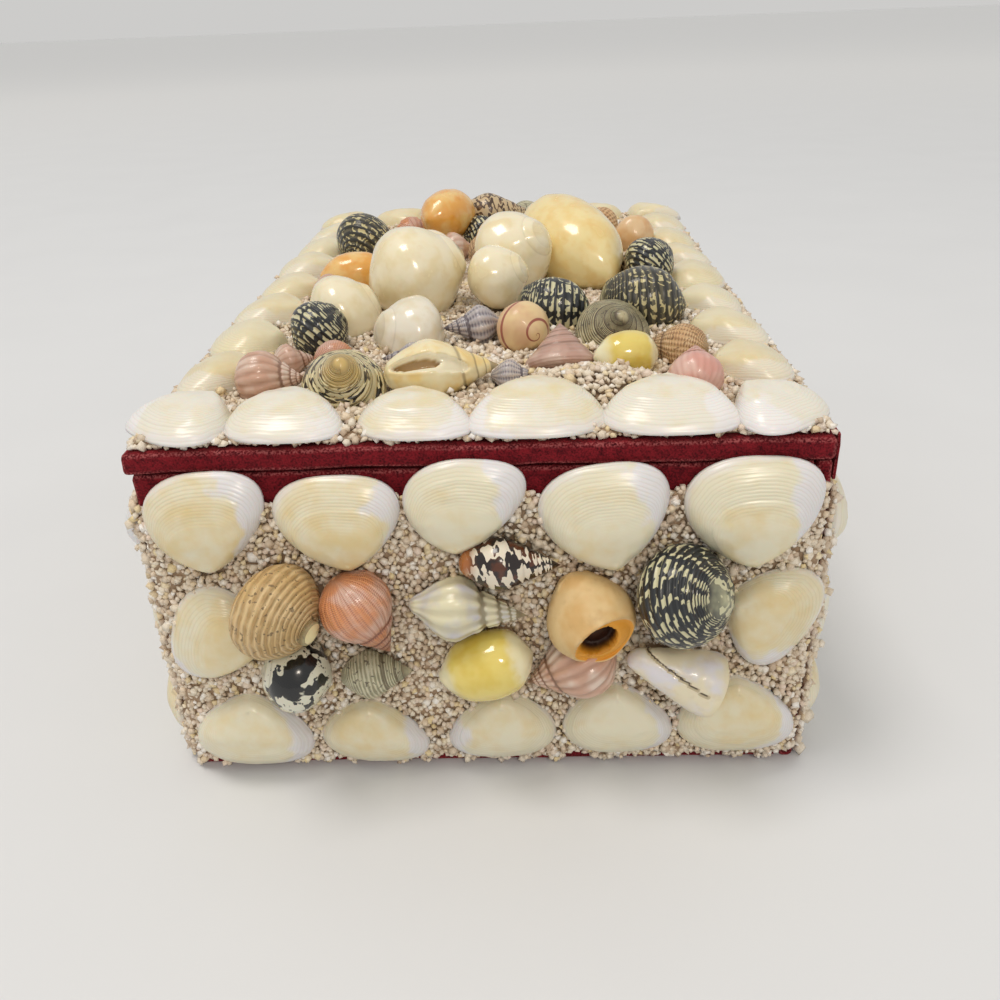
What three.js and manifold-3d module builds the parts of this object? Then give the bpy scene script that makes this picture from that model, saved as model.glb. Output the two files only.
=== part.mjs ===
// A shell trinket box: a pasteboard tray and a hinged lid, covered in red flocked paper, then in
// coarse coral sand with sea shells set in it. Every clam is half a shell, its margin turned to the
// nearest edge of the box; sea snails fill the middle of each face and are heaped on the lid.
// Millimetres, +Z up, origin at the middle of the underside. X runs across the short ends, Y along
// the long sides, -Y is the front and the lid is hinged along the +X side.

import * as THREE from "three";
import { mergeVertices } from "three/addons/utils/BufferGeometryUtils.js";
import Module from "manifold-3d";

const wasm = await Module();
wasm.setup();

// Driving dimensions, in millimetres.
const BOX_WIDTH = 116;
const BOX_LENGTH = 184;
const TRAY_HEIGHT = 63;
const WALL = 3;
const LID_THICKNESS = 3.8;
const LID_GAP = 0.5; // between the tray's rim and the lid
const LID_OVERHANG = 0.8; // past the tray at the front, back and left
const CLOTH = 0.6; // the hinge strip of flocked paper
const GAP = 0.3; // between pieces that are glued to each other
const SAND = 2; // depth of the sand on every face
const SAND_MARGIN = 0.8; // bare flock left along the edges of a face
const EMBEDDED = 0.6; // how far a shell that is fused with the sand sinks into it
const RIM_BAND = 2.6; // bare flock under the tray's rim

// Proportions of a clam, as shares of its length or height.
const CLAM_DOME = 0.23;
const WHOLE_CLAM = { sides: 9, rings: [1, 0.8, 0.42] };
const FUSED_CLAM = { sides: 7, rings: [1, 0.55] };
const BEAK_SHARE = 0.5; // the beak's height, of the dome's

// Where a snail's spiral rows end, and the last ring before its foot, as shares of its length.
const LAST_ROW = 0.86;
const FOOT_RING = 0.9;

const HALF_WIDTH = BOX_WIDTH / 2;
const HALF_LENGTH = BOX_LENGTH / 2;
const LID_BOTTOM = TRAY_HEIGHT + LID_GAP;
const LID_TOP = LID_BOTTOM + LID_THICKNESS;
const SPINE_INNER = HALF_WIDTH - WALL + GAP;
const LID_WIDTH = BOX_WIDTH + LID_OVERHANG;
const LID_LENGTH = BOX_LENGTH + 2 * LID_OVERHANG;

const radians = THREE.MathUtils.degToRad;

// The outline of each kind of sea snail: [share of its length from the apex, share of its width
// from the axis], then its whorls: how many turns the spire has, how much each turn grows, where
// the last suture meets the mouth and how deep the sutures are cut.
const SNAILS = {
  moon: {
    outline: [[0, 0.03], [0.1, 0.19], [0.26, 0.38], [0.5, 0.5], [0.75, 0.43], [0.92, 0.25], [1, 0.06]],
    turns: 1, growth: 2.2, suture: 0.3, groove: 0.08,
  },
  nerite: {
    outline: [[0, 0.05], [0.08, 0.22], [0.22, 0.41], [0.45, 0.5], [0.72, 0.43], [0.9, 0.27], [1, 0.08]],
    turns: 1, growth: 2.2, suture: 0.26, groove: 0.07,
  },
  whelk: {
    outline: [[0, 0.02], [0.2, 0.17], [0.42, 0.36], [0.58, 0.5], [0.77, 0.41], [0.9, 0.2], [1, 0.07]],
    turns: 2, growth: 1.75, suture: 0.46, groove: 0.13,
  },
  dove: {
    outline: [[0, 0.02], [0.2, 0.2], [0.42, 0.4], [0.58, 0.5], [0.8, 0.37], [1, 0.12]],
    turns: 2, growth: 1.75, suture: 0.46, groove: 0.05,
  },
  top: {
    outline: [[0, 0.02], [0.3, 0.24], [0.6, 0.42], [0.8, 0.5], [0.93, 0.4], [1, 0.15]],
    turns: 2, growth: 1.7, suture: 0.62, groove: 0.08,
  },
  cone: {
    outline: [[0, 0.3], [0.06, 0.46], [0.16, 0.5], [0.5, 0.34], [0.85, 0.17], [1, 0.08]],
    turns: 0, growth: 2.2, suture: 0.12, groove: 0,
  },
  bubble: {
    outline: [[0, 0.08], [0.12, 0.32], [0.42, 0.5], [0.72, 0.42], [0.92, 0.24], [1, 0.06]],
    turns: 0.5, growth: 2.2, suture: 0.24, groove: 0.02,
  },
};

// The finish of each sort of piece: colour, roughness.
const FINISHES = {
  flock: ["#7c1822", 0.95],
  sand: ["#c8b597", 0.9],
  ivory: ["#ddd5b4", 0.35],
  cream: ["#e6d6a6", 0.3],
  tan: ["#c9a468", 0.6],
  orange: ["#d9935c", 0.4],
  pink: ["#c08d7c", 0.5],
  grey: ["#a9a391", 0.5],
  dark: ["#23262a", 0.35],
  mottled: ["#7a5b3a", 0.35],
  yellow: ["#e3c95c", 0.25],
};

function material(finish) {
  const [color, roughness] = FINISHES[finish];
  return new THREE.MeshStandardMaterial({ color, roughness, metalness: 0 });
}

// A closed geometry as a solid that can be joined and cut.
function solidOf(geometry) {
  const bare = geometry.clone();
  bare.deleteAttribute("normal");
  bare.deleteAttribute("uv");
  const merged = mergeVertices(bare, 1e-4);
  return new wasm.Manifold(
    new wasm.Mesh({
      numProp: 3,
      vertProperties: merged.attributes.position.array,
      triVerts: new Uint32Array(merged.index.array),
    }),
  );
}

// A solid as a geometry. Where cutting left crumbs, only the largest body is kept.
function geometryOf(solid) {
  const bodies = solid.decompose().sort((a, b) => b.volume() - a.volume());
  const mesh = bodies[0].getMesh();
  const geometry = new THREE.BufferGeometry();
  const points = new THREE.BufferAttribute(new Float32Array(mesh.vertProperties), 3);
  geometry.setAttribute("position", points);
  geometry.setIndex(new THREE.BufferAttribute(new Uint32Array(mesh.triVerts), 1));
  geometry.computeVertexNormals();
  return geometry;
}

// A block between two corners.
function block(low, high) {
  const size = high.map((value, axis) => value - low[axis]);
  const middle = high.map((value, axis) => (value + low[axis]) / 2);
  return new THREE.BoxGeometry(...size).translate(...middle);
}

// A closed surface from its points and triangles.
function surface(points, triangles) {
  const geometry = new THREE.BufferGeometry();
  geometry.setAttribute("position", new THREE.Float32BufferAttribute(points.flat(), 3));
  geometry.setIndex(triangles);
  return geometry;
}

// Half the width of a clam at a share of the way from its beak to its margin, at most 1.
function clamSpread(share) {
  const shape = (t) => t ** 0.72 * (1 - t) ** 0.4;
  return shape(share) / shape(0.72 / 1.12);
}

// One valve of a clam lying on its margin: its beak is at -Y, its margin at +Y and its back at +Z.
// Each ring is a growth line, a smaller copy of the margin drawn towards the beak.
function clam({ length, height, lean = 0, sides, rings }) {
  const margin = Array.from({ length: sides }, (_, side) => {
    const angle = ((side + 0.5) / sides) * 2 * Math.PI;
    const share = (1 - Math.cos(angle)) / 2;
    const half = (clamSpread(share) * length) / 2;
    return [Math.sign(Math.sin(angle)) * half + lean * (0.5 - share), (share - 0.5) * height];
  });
  const beak = [lean / 2, -height / 2];
  const dome = CLAM_DOME * length;
  const points = [];
  for (const ring of rings)
    for (const [x, y] of margin) {
      const across = beak[0] + ring * (x - beak[0]);
      const along = beak[1] + ring * (y - beak[1]);
      const out = Math.hypot(across - beak[0], along - beak[1]) / height;
      const swell = BEAK_SHARE + (1 - BEAK_SHARE) * Math.min(1, out / 0.4);
      points.push([across, along, dome * (1 - ring ** 2.2) ** 0.7 * swell]);
    }
  const top = points.push([beak[0], beak[1] + 0.03 * height, dome * BEAK_SHARE]) - 1;
  const triangles = [];
  for (let side = 0; side < sides; side++) {
    const next = (side + 1) % sides;
    for (let ring = 0; ring + 1 < rings.length; ring++) {
      const [a, b] = [ring * sides + side, ring * sides + next];
      const [c, d] = [b + sides, a + sides];
      triangles.push(a, b, c, a, c, d);
    }
    const last = (rings.length - 1) * sides;
    triangles.push(last + side, last + next, top);
    if (side > 0 && next > 0) triangles.push(0, next, side);
  }
  return surface(points, triangles);
}

// A sea snail about +Y, its apex at +Y. Its rows of points run round it in a spiral, so that every
// second row lies in the suture between two whorls.
function snail({ kind, length, width, sides = 7, rows = 2 }) {
  const { outline, turns, growth, suture, groove } = SNAILS[kind];
  const curve = new THREE.SplineCurve(outline.map(([along, out]) => new THREE.Vector2(along, out)));
  const profile = curve.getPoints(60);
  const reach = (share) => {
    const after = profile.findIndex((point) => point.x >= share);
    const [from, to] = [profile[Math.max(after - 1, 0)], profile[after < 0 ? 60 : after]];
    const part = to.x > from.x ? (share - from.x) / (to.x - from.x) : 0;
    return from.y + part * (to.y - from.y);
  };
  const whorls = turns + Math.log(LAST_ROW / suture) / Math.log(growth);
  const lastRow = Math.floor((whorls - 1) * rows);
  const point = (step, row) => {
    const turn = row / rows + step / sides;
    const share = suture * growth ** (turn - turns);
    const cut = row % rows === 0 && row / rows < turns ? groove : 0;
    const radius = width * reach(share) * (1 - cut);
    const angle = (step / sides) * 2 * Math.PI;
    return [radius * Math.cos(angle), length * (0.5 - share), radius * Math.sin(angle)];
  };
  const points = [];
  const index = [];
  for (let step = 0; step < sides; step++) {
    index.push([]);
    const rowsHere = step === 0 ? lastRow + rows : lastRow;
    for (let row = 0; row <= rowsHere; row++) {
      index[step].push(points.length);
      points.push(point(step, row));
    }
  }
  const at = (step, row) => (step === sides ? index[0][row + rows] : index[step][row]);
  const triangles = [];
  for (let step = 0; step < sides; step++)
    for (let row = 0; row < lastRow; row++) {
      const [a, b] = [at(step, row), at(step + 1, row)];
      const [c, d] = [at(step + 1, row + 1), at(step, row + 1)];
      triangles.push(a, b, c, a, c, d);
    }
  // The rows end in a ragged edge at both ends: a fan closes it at the apex, and a ring round the
  // foot, then a fan, at the other end.
  const edge = (first) => {
    const loop = Array.from({ length: sides + 1 }, (_, step) => at(step, first));
    for (let row = rows - 1; row >= 0; row--) loop.push(index[0][first + row]);
    return loop;
  };
  const apex = points.push([0, length / 2, 0]) - 1;
  const start = edge(0);
  for (let place = 0; place + 1 < start.length; place++)
    triangles.push(apex, start[place + 1], start[place]);
  const end = edge(lastRow);
  const ring = Array.from({ length: sides }, (_, step) => {
    const angle = (step / sides) * 2 * Math.PI;
    const radius = width * reach(FOOT_RING);
    const place = [radius * Math.cos(angle), length * (0.5 - FOOT_RING), radius * Math.sin(angle)];
    return points.push(place) - 1;
  });
  const foot = points.push([0, -length / 2, 0]) - 1;
  for (let step = 0; step < sides; step++) {
    const [a, b] = [ring[step], ring[(step + 1) % sides]];
    triangles.push(end[step], end[step + 1], b, end[step], b, a, foot, a, b);
  }
  for (let place = sides; place + 1 < end.length; place++)
    triangles.push(ring[0], end[place], end[place + 1]);
  return surface(points, triangles);
}

// A shell laid on a face: turned about its own length by roll, its +Y end lifted by tilt and
// pointed by heading, then moved to its place.
function laid(geometry, { at, heading = 90, tilt = 0, roll = 0, rise = 0 }) {
  geometry.rotateY(radians(roll));
  geometry.rotateX(radians(tilt));
  geometry.rotateZ(radians(heading - 90));
  return geometry.translate(at[0], at[1], rise);
}

function laidSnail(spec) {
  const rise = spec.rise ?? SAND + 0.3 * spec.width;
  return laid(snail(spec), { ...spec, rise });
}

// A geometry made bigger about its own middle by the gap that glued pieces keep.
function grown(geometry) {
  const box = new THREE.Box3().setFromBufferAttribute(geometry.getAttribute("position"));
  const middle = box.getCenter(new THREE.Vector3());
  const size = box.getSize(new THREE.Vector3());
  const factor = size.toArray().map((side) => 1 + (2 * GAP) / side);
  return geometry
    .clone()
    .translate(...middle.clone().negate().toArray())
    .scale(...factor)
    .translate(...middle.toArray());
}

function touching(one, other) {
  const [a, b] = [one, other].map((geometry) =>
    new THREE.Box3().setFromBufferAttribute(geometry.getAttribute("position")),
  );
  return a.intersectsBox(b);
}

// All that lies below a level of a face.
function below(level) {
  return block([-BOX_LENGTH, -BOX_LENGTH, -TRAY_HEIGHT], [BOX_LENGTH, BOX_LENGTH, level]);
}

// A shell cut off flat on the sand and clear of the shells that are already in place.
function settled(geometry, placed) {
  let solid = solidOf(geometry).subtract(solidOf(below(SAND + GAP)));
  for (const other of placed)
    if (touching(geometry, other)) solid = solid.subtract(solidOf(grown(other)));
  return geometryOf(solid);
}

// The opening of a snail that shows its mouth, as a hollow to be cut out of it.
function mouth({ at, size, depth, heading = 0 }) {
  const hollow = new THREE.SphereGeometry(0.5, 8, 5).scale(size[0], size[1], 2 * depth);
  hollow.rotateZ(radians(heading));
  return hollow.translate(...at);
}

function addMesh(parent, name, geometry, finish) {
  const mesh = new THREE.Mesh(geometry, material(finish));
  mesh.name = name;
  parent.add(mesh);
  return mesh;
}

// A mesh whose own position is its place on the face.
function addShell(parent, name, geometry, finish, [x, y]) {
  geometry.translate(-x, -y, -SAND);
  const mesh = addMesh(parent, name, geometry, finish);
  mesh.position.set(x, y, SAND);
}

// Sand over a face, with the shells that are fused with it.
function sandBed([low, high], shells) {
  const bed = block([low[0], low[1], GAP], [high[0], high[1], SAND]);
  const whole = shells.reduce((joined, shell) => joined.add(solidOf(shell)), solidOf(bed));
  return geometryOf(whole.subtract(solidOf(below(GAP))));
}

function fusedClam(spec) {
  return laid(clam({ ...spec, ...FUSED_CLAM }), { rise: SAND - EMBEDDED, ...spec });
}

// A snail that is a node of its own: its kind and finish, its place on the face, its length and
// width, and how it is turned, tilted and raised.
function snailSpec(kind, finish, at, [length, width], turned) {
  return { kind, finish, at, length, width, ...turned };
}

// A row of clams evenly along a line, their sizes wavering a little as real shells do.
function clamRow(from, to, { count, heading, length, height }) {
  return Array.from({ length: count }, (_, place) => {
    const share = count > 1 ? place / (count - 1) : 0.5;
    const waver = 1 + 0.05 * Math.sin(2.4 * place + heading);
    return {
      at: [from[0] + share * (to[0] - from[0]), from[1] + share * (to[1] - from[1])],
      heading: heading + 5 * Math.sin(1.7 * place + 1),
      length: length * waver,
      height: height * waver,
      lean: 2 * Math.cos(2.1 * place),
    };
  });
}

// A wall's own frame: X along it, Y up, Z outwards.
function wallGroup(turn, distance) {
  const turned = new THREE.Group();
  turned.rotation.z = radians(turn);
  const face = new THREE.Group();
  face.rotation.x = Math.PI / 2;
  face.position.y = -distance;
  turned.add(face);
  box.add(turned);
  return face;
}

const box = new THREE.Group();

// Boards: an open tray, the spine board on the outside of its right wall, and the lid.
const trayOuter = block([-HALF_WIDTH, -HALF_LENGTH, 0], [HALF_WIDTH - WALL, HALF_LENGTH, TRAY_HEIGHT]);
const trayInner = block(
  [WALL - HALF_WIDTH, WALL - HALF_LENGTH, WALL],
  [HALF_WIDTH - 2 * WALL, HALF_LENGTH - WALL, TRAY_HEIGHT + WALL],
);
addMesh(box, "tray", geometryOf(solidOf(trayOuter).subtract(solidOf(trayInner))), "flock");
const spine = block([SPINE_INNER, -HALF_LENGTH, 0], [HALF_WIDTH, HALF_LENGTH, TRAY_HEIGHT]);
addMesh(box, "spine_board", spine, "flock");
const lidBoard = new THREE.BoxGeometry(LID_WIDTH, LID_LENGTH, LID_THICKNESS);
addMesh(box, "lid_board", lidBoard, "flock").position.set(
  -LID_OVERHANG / 2,
  0,
  LID_BOTTOM + LID_THICKNESS / 2,
);

// The hinge is one strip of flocked paper, folded at the level of the rim. Each leaf is a solid.
const HINGE_LEAF = 4.2;
const hingeX = HALF_WIDTH + GAP + CLOTH / 2;
const hingeLength = BOX_LENGTH - 2;
const lowerLeaf = new THREE.BoxGeometry(CLOTH, hingeLength, HINGE_LEAF);
const upperLeaf = new THREE.BoxGeometry(CLOTH, hingeLength, LID_THICKNESS - GAP);
addMesh(box, "hinge_cloth_box", lowerLeaf, "flock").position.set(
  hingeX,
  0,
  TRAY_HEIGHT + GAP / 2 - HINGE_LEAF / 2,
);
addMesh(box, "hinge_cloth_lid", upperLeaf, "flock").position.set(
  hingeX,
  0,
  LID_BOTTOM + GAP + (LID_THICKNESS - GAP) / 2,
);

// The front end. Places are measured from its middle and up from the underside.
const front = wallGroup(0, HALF_LENGTH);
const endBed = [
  [SAND_MARGIN - HALF_WIDTH, SAND_MARGIN],
  [HALF_WIDTH - SAND_MARGIN, TRAY_HEIGHT - RIM_BAND],
];
addMesh(front, "front_sand", sandBed(endBed, []), "sand");
const frontClams = {
  front_clam_top_1: { at: [-46, 55], length: 21, height: 18.6, heading: 94, lean: -1 },
  front_clam_top_2: { at: [-23.6, 54.4], length: 21.6, height: 17.6, heading: 92, lean: 2 },
  front_clam_top_3: { at: [-2.6, 57], length: 20.2, height: 17.2, heading: 88, lean: -2 },
  front_clam_top_4: { at: [20.8, 54.6], length: 22, height: 19.6, heading: 97, lean: 1 },
  front_clam_top_5: { at: [45.2, 54.8], length: 23, height: 20.2, heading: 90, lean: 1 },
  front_clam_side_left: { at: [-48, 32.4], length: 20.4, height: 17, heading: 163 },
  front_clam_side_right: { at: [49.6, 34.8], length: 21, height: 16.4, heading: -28 },
  front_clam_bottom_1: { at: [-44.6, 10.6], length: 22.6, height: 17.2, heading: -90, lean: -1 },
  front_clam_bottom_2: { at: [-21.8, 9.8], length: 20.4, height: 15, heading: -91, lean: 1 },
  front_clam_bottom_3: { at: [2.3, 10.8], length: 20.4, height: 15.6, heading: -90 },
  front_clam_bottom_4: { at: [23.8, 12], length: 20.6, height: 16.6, heading: -87 },
  front_clam_bottom_5: { at: [45.6, 12.6], length: 22, height: 17.8, heading: -87 },
};
const placedOnFront = [];
for (const [name, spec] of Object.entries(frontClams)) {
  const shell = settled(
    laid(clam({ ...spec, ...WHOLE_CLAM }), { rise: SAND + GAP, ...spec }),
    placedOnFront,
  );
  placedOnFront.push(shell.clone());
  addShell(front, name, shell, "ivory", spec.at);
}
const frontSnails = {
  striped_nerite: snailSpec("nerite", "dark", [33.6, 41.6], [16, 17.6], { heading: 24, tilt: 48 }),
  open_moon_snail: snailSpec("moon", "tan", [18, 37], [17, 15.4], { heading: 112, tilt: -8 }),
  ribbed_cap_shell: snailSpec("nerite", "tan", [-34.6, 40.4], [15.4, 17], { heading: -18, tilt: 28 }),
  orange_whelk: snailSpec("whelk", "orange", [-20.8, 38], [17.4, 12.4], { heading: -62 }),
  knobbed_whelk: snailSpec("whelk", "grey", [-2.6, 38.6], [20.4, 11], { heading: -8 }),
  patterned_dove_shell: snailSpec("dove", "mottled", [4.8, 47.6], [17, 9.2], { heading: -3 }),
  yellow_bubble_shell: snailSpec("bubble", "yellow", [0, 27.2], [17.6, 12.4], { heading: 18 }),
  pink_turban: snailSpec("top", "pink", [15, 25.4], [17, 12], { heading: 203 }),
  broken_conch: snailSpec("cone", "cream", [33.6, 25.2], [18, 12], { heading: -24 }),
  dotted_nerite: snailSpec("nerite", "dark", [-33.8, 25.4], [12.6, 13.4], { heading: 160, tilt: 10 }),
  speckled_top_shell: snailSpec("top", "grey", [-19.6, 25.2], [13.2, 9], { heading: 4 }),
};
const mouths = {
  open_moon_snail: { at: [20.6, 34.6, 12.6], size: [8.4, 6.2], depth: 5, heading: 40 },
};
for (const [name, spec] of Object.entries(frontSnails)) {
  let shell = settled(laidSnail(spec), placedOnFront);
  placedOnFront.push(shell.clone());
  if (mouths[name]) shell = geometryOf(solidOf(shell).subtract(solidOf(mouth(mouths[name]))));
  addShell(front, name, shell, spec.finish, spec.at);
}

// The back end and the long sides: the same three rows of clams, fused with their sand, and
// a few snails in the middle.
const hidden = { sides: 5, rows: 1 };
const backShells = [
  ...clamRow([-45, 55], [45, 55], { count: 5, heading: 90, length: 21, height: 17.6 }),
  ...clamRow([-45, 11], [45, 11], { count: 5, heading: -90, length: 21, height: 16.4 }),
  ...clamRow([-48, 33], [-48, 33], { count: 1, heading: 176, length: 20, height: 16 }),
  ...clamRow([48, 33], [48, 33], { count: 1, heading: 4, length: 20, height: 16 }),
].map(fusedClam);
const backSnails = [
  { kind: "moon", at: [-28, 35], length: 15, width: 15, heading: 60, ...hidden },
  { kind: "nerite", at: [-11, 32], length: 13, width: 14, heading: 150, ...hidden },
  { kind: "whelk", at: [6, 36], length: 18, width: 11, heading: 10, ...hidden },
  { kind: "bubble", at: [14, 25], length: 15, width: 10, heading: 170, ...hidden },
  { kind: "top", at: [28, 35], length: 15, width: 13, heading: 300, ...hidden },
].map(laidSnail);
const back = wallGroup(180, HALF_LENGTH);
addMesh(back, "back_sand", sandBed(endBed, [...backShells, ...backSnails]), "sand");

const sideSpan = HALF_LENGTH - 12;
const sideBed = [
  [SAND_MARGIN - HALF_LENGTH, SAND_MARGIN],
  [HALF_LENGTH - SAND_MARGIN, TRAY_HEIGHT - HINGE_LEAF - GAP],
];
const sideKinds = ["nerite", "moon", "whelk", "bubble", "nerite", "whelk"];
for (const [name, turn, phase] of [["right_sand", 90, 0], ["left_sand", -90, 3]]) {
  const ends = sideSpan + 3;
  const clams = [
    ...clamRow([-sideSpan, 49.5], [sideSpan, 49.5], { count: 8, heading: 90, length: 21, height: 16.6 }),
    ...clamRow([-sideSpan, 11], [sideSpan, 11], { count: 8, heading: -90, length: 21, height: 16.4 }),
    ...clamRow([-ends, 31], [-ends, 31], { count: 1, heading: 176, length: 18, height: 15 }),
    ...clamRow([ends, 31], [ends, 31], { count: 1, heading: 4, length: 18, height: 15 }),
  ].map(fusedClam);
  const snails = sideKinds.map((kind, place) => {
    const along = (place - (sideKinds.length - 1) / 2) * 22;
    const at = [along, 31 + 3 * Math.sin(2 * place + phase)];
    const [length, width] = kind === "whelk" ? [15, 9] : [12, 10];
    return laidSnail({ kind, at, length, width, heading: 77 * (place + phase), ...hidden });
  });
  const face = wallGroup(turn, HALF_WIDTH);
  addMesh(face, name, sandBed(sideBed, [...clams, ...snails]), "sand");
}

// The lid. Places are measured from its middle; Z starts at its top.
const lid = new THREE.Group();
lid.position.z = LID_TOP;
box.add(lid);
const lidEdge = { x: 49.5, y: 85 };
const lidClams = [
  { at: [-32.4, -85], length: 19.6, height: 16, heading: -90 },
  { at: [-10.6, -85.4], length: 18.4, height: 15, heading: -90, lean: 1 },
  { at: [9.9, -84.6], length: 22, height: 17, heading: -90 },
  { at: [32, -85], length: 21.2, height: 16.4, heading: -90, lean: -1 },
  { at: [-50, -84.4], length: 18.6, height: 15.4, heading: 232 },
  { at: [49.4, -85], length: 17, height: 14.4, heading: -52 },
  ...clamRow([-lidEdge.x, -64], [-lidEdge.x, 62], { count: 7, heading: 180, length: 20.4, height: 16.4 }),
  ...clamRow([lidEdge.x, -65], [lidEdge.x, 62], { count: 7, heading: 0, length: 20, height: 15.6 }),
  ...clamRow([-31, lidEdge.y], [31, lidEdge.y], { count: 4, heading: 90, length: 20, height: 15.4 }),
  { at: [-49.6, 84], length: 18.6, height: 15, heading: 135 },
  { at: [49.6, 84], length: 18.6, height: 15, heading: 45 },
].map(fusedClam);

// Small snails that only fill the gaps of the heap are fused with the sand.
const fillers = [
  { kind: "whelk", at: [-36.4, -60], length: 9, width: 7, heading: 30 },
  { kind: "moon", at: [-28, -61], length: 8, width: 8, heading: 90 },
  { kind: "moon", at: [-39, -9], length: 8, width: 8, heading: 200 },
  { kind: "whelk", at: [-14.6, -60], length: 10, width: 6.4, heading: 170 },
  { kind: "bubble", at: [21, -79], length: 26, width: 10, heading: 4, rise: SAND - 1.6 },
  { kind: "moon", at: [-14, 64], length: 12, width: 12, heading: 60 },
  { kind: "nerite", at: [-4, 47], length: 11, width: 11, heading: 20 },
  { kind: "moon", at: [22, 62], length: 9, width: 8, heading: 20 },
  { kind: "moon", at: [32, 59], length: 11, width: 10, heading: 60 },
  { kind: "bubble", at: [30, 34], length: 11, width: 9.6, heading: 80 },
  { kind: "whelk", at: [-26, 54], length: 15, width: 10, heading: 120 },
  { kind: "top", at: [8, 66], length: 12, width: 11, heading: 250 },
].map((spec) => laidSnail({ ...spec, ...hidden }));
addMesh(
  lid,
  "lid_sand",
  sandBed(
    [
      [SAND_MARGIN - HALF_WIDTH, SAND_MARGIN - HALF_LENGTH],
      [HALF_WIDTH - SAND_MARGIN, HALF_LENGTH - SAND_MARGIN],
    ],
    [...lidClams, ...fillers],
  ),
  "sand",
);

// How a snail lies in the lid's heap: its heading, its tilt and the height of its middle.
const heaped = (heading, tilt, rise) => ({ heading, tilt, rise });
const lidSnails = {
  great_moon_snail: snailSpec("moon", "cream", [-16, -15.6], [23.6, 22.6], heaped(20, 20, 9.8)),
  great_cowry: snailSpec("bubble", "yellow", [19.4, 9], [38, 22.6], heaped(118, 12, 10)),
  small_moon_snail: snailSpec("moon", "cream", [2.4, -19], [14.6, 14.4], heaped(345, 20, 9.6)),
  spiral_moon_snail: snailSpec("moon", "cream", [6.4, -2.4], [20, 20], heaped(330, 30, 11.4)),
  great_nerite: snailSpec("nerite", "dark", [33.6, -32], [18.6, 15.2], heaped(175, 8, 6)),
  dark_nerite: snailSpec("nerite", "dark", [14.6, -33], [16.6, 13], heaped(170, 14, 5.4)),
  black_nerite: snailSpec("nerite", "dark", [38.4, -5], [11.6, 12.4], heaped(30, 30, 8)),
  striped_top_shell: snailSpec("top", "grey", [27.2, -46.4], [12, 15.6], heaped(280, 42, 5)),
  cream_turban: snailSpec("top", "mottled", [-23.6, -75.4], [13.6, 15.2], heaped(280, 46, 6)),
  left_nerite: snailSpec("nerite", "dark", [-33.8, -46], [12, 12.4], { heading: 30, tilt: 30 }),
  left_moon_snail: snailSpec("moon", "cream", [-30.6, -31], [16, 17.4], heaped(20, 20, 5.4)),
  white_moon_snail: snailSpec("moon", "ivory", [-16, -45], [15, 16], heaped(200, 20, 4.4)),
  little_strombus: snailSpec("whelk", "cream", [-7, -70], [21, 11.6], { heading: 12 }),
  pink_ribbed_whelk: snailSpec("whelk", "pink", [-38.2, -70.6], [13, 10], { heading: 0 }),
  banded_shell: snailSpec("moon", "tan", [7.4, -46.4], [12, 11], heaped(120, 0, 6)),
  beaded_whelk: snailSpec("whelk", "grey", [-2.4, -43.6], [12.6, 8], heaped(190, 0, 5.6)),
  pink_cone_shell: snailSpec("top", "pink", [14.4, -58], [10, 14], heaped(92, 60, 4.6)),
  blue_spire_shell: snailSpec("whelk", "grey", [6.2, -69.6], [9, 6], { heading: -10 }),
  glossy_yellow_shell: snailSpec("bubble", "yellow", [27, -62.6], [12.6, 9], { heading: 10 }),
  tan_netted_shell: snailSpec("whelk", "tan", [37, -58.4], [13, 9], { heading: 150 }),
  rose_whelk: snailSpec("whelk", "pink", [37.8, -74], [12, 9.6], heaped(84, 30, 5.4)),
  orange_bubble_shell: snailSpec("bubble", "orange", [-34, 1], [17, 11], heaped(10, 0, 6)),
  far_nerite: snailSpec("nerite", "mottled", [-36.4, 33], [15, 16.6], { heading: 60, tilt: 20 }),
  orange_cowry: snailSpec("bubble", "orange", [-14, 47], [20, 14], heaped(60, 0, 11.4)),
  mottled_dove_shell: snailSpec("dove", "mottled", [0, 57], [22, 12], heaped(0, 0, 9.6)),
  brown_spire_shell: snailSpec("whelk", "mottled", [35.4, 5], [13, 7.4], heaped(84, 0, 5.6)),
  peach_moon_snail: snailSpec("moon", "tan", [39, 38], [10, 11], heaped(100, 0, 6.4)),
};
const placedOnLid = [...lidClams, ...fillers];
for (const [name, spec] of Object.entries(lidSnails)) {
  const shell = settled(laidSnail(spec), placedOnLid);
  placedOnLid.push(shell.clone());
  addShell(lid, name, shell, spec.finish, spec.at);
}

export default box;
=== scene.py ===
"""A shell trinket box: red flocked pasteboard under coral sand, half clams and sea snails.

Shells are shaped in millimetres in their own frame, laid on the faces of the box that the CAD
frame gives, and turned into metres as the meshes are made.
"""

import logging
import math
from dataclasses import dataclass, replace
from enum import Enum

import bpy
import numpy as np
from mathutils import Matrix, Vector


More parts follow.
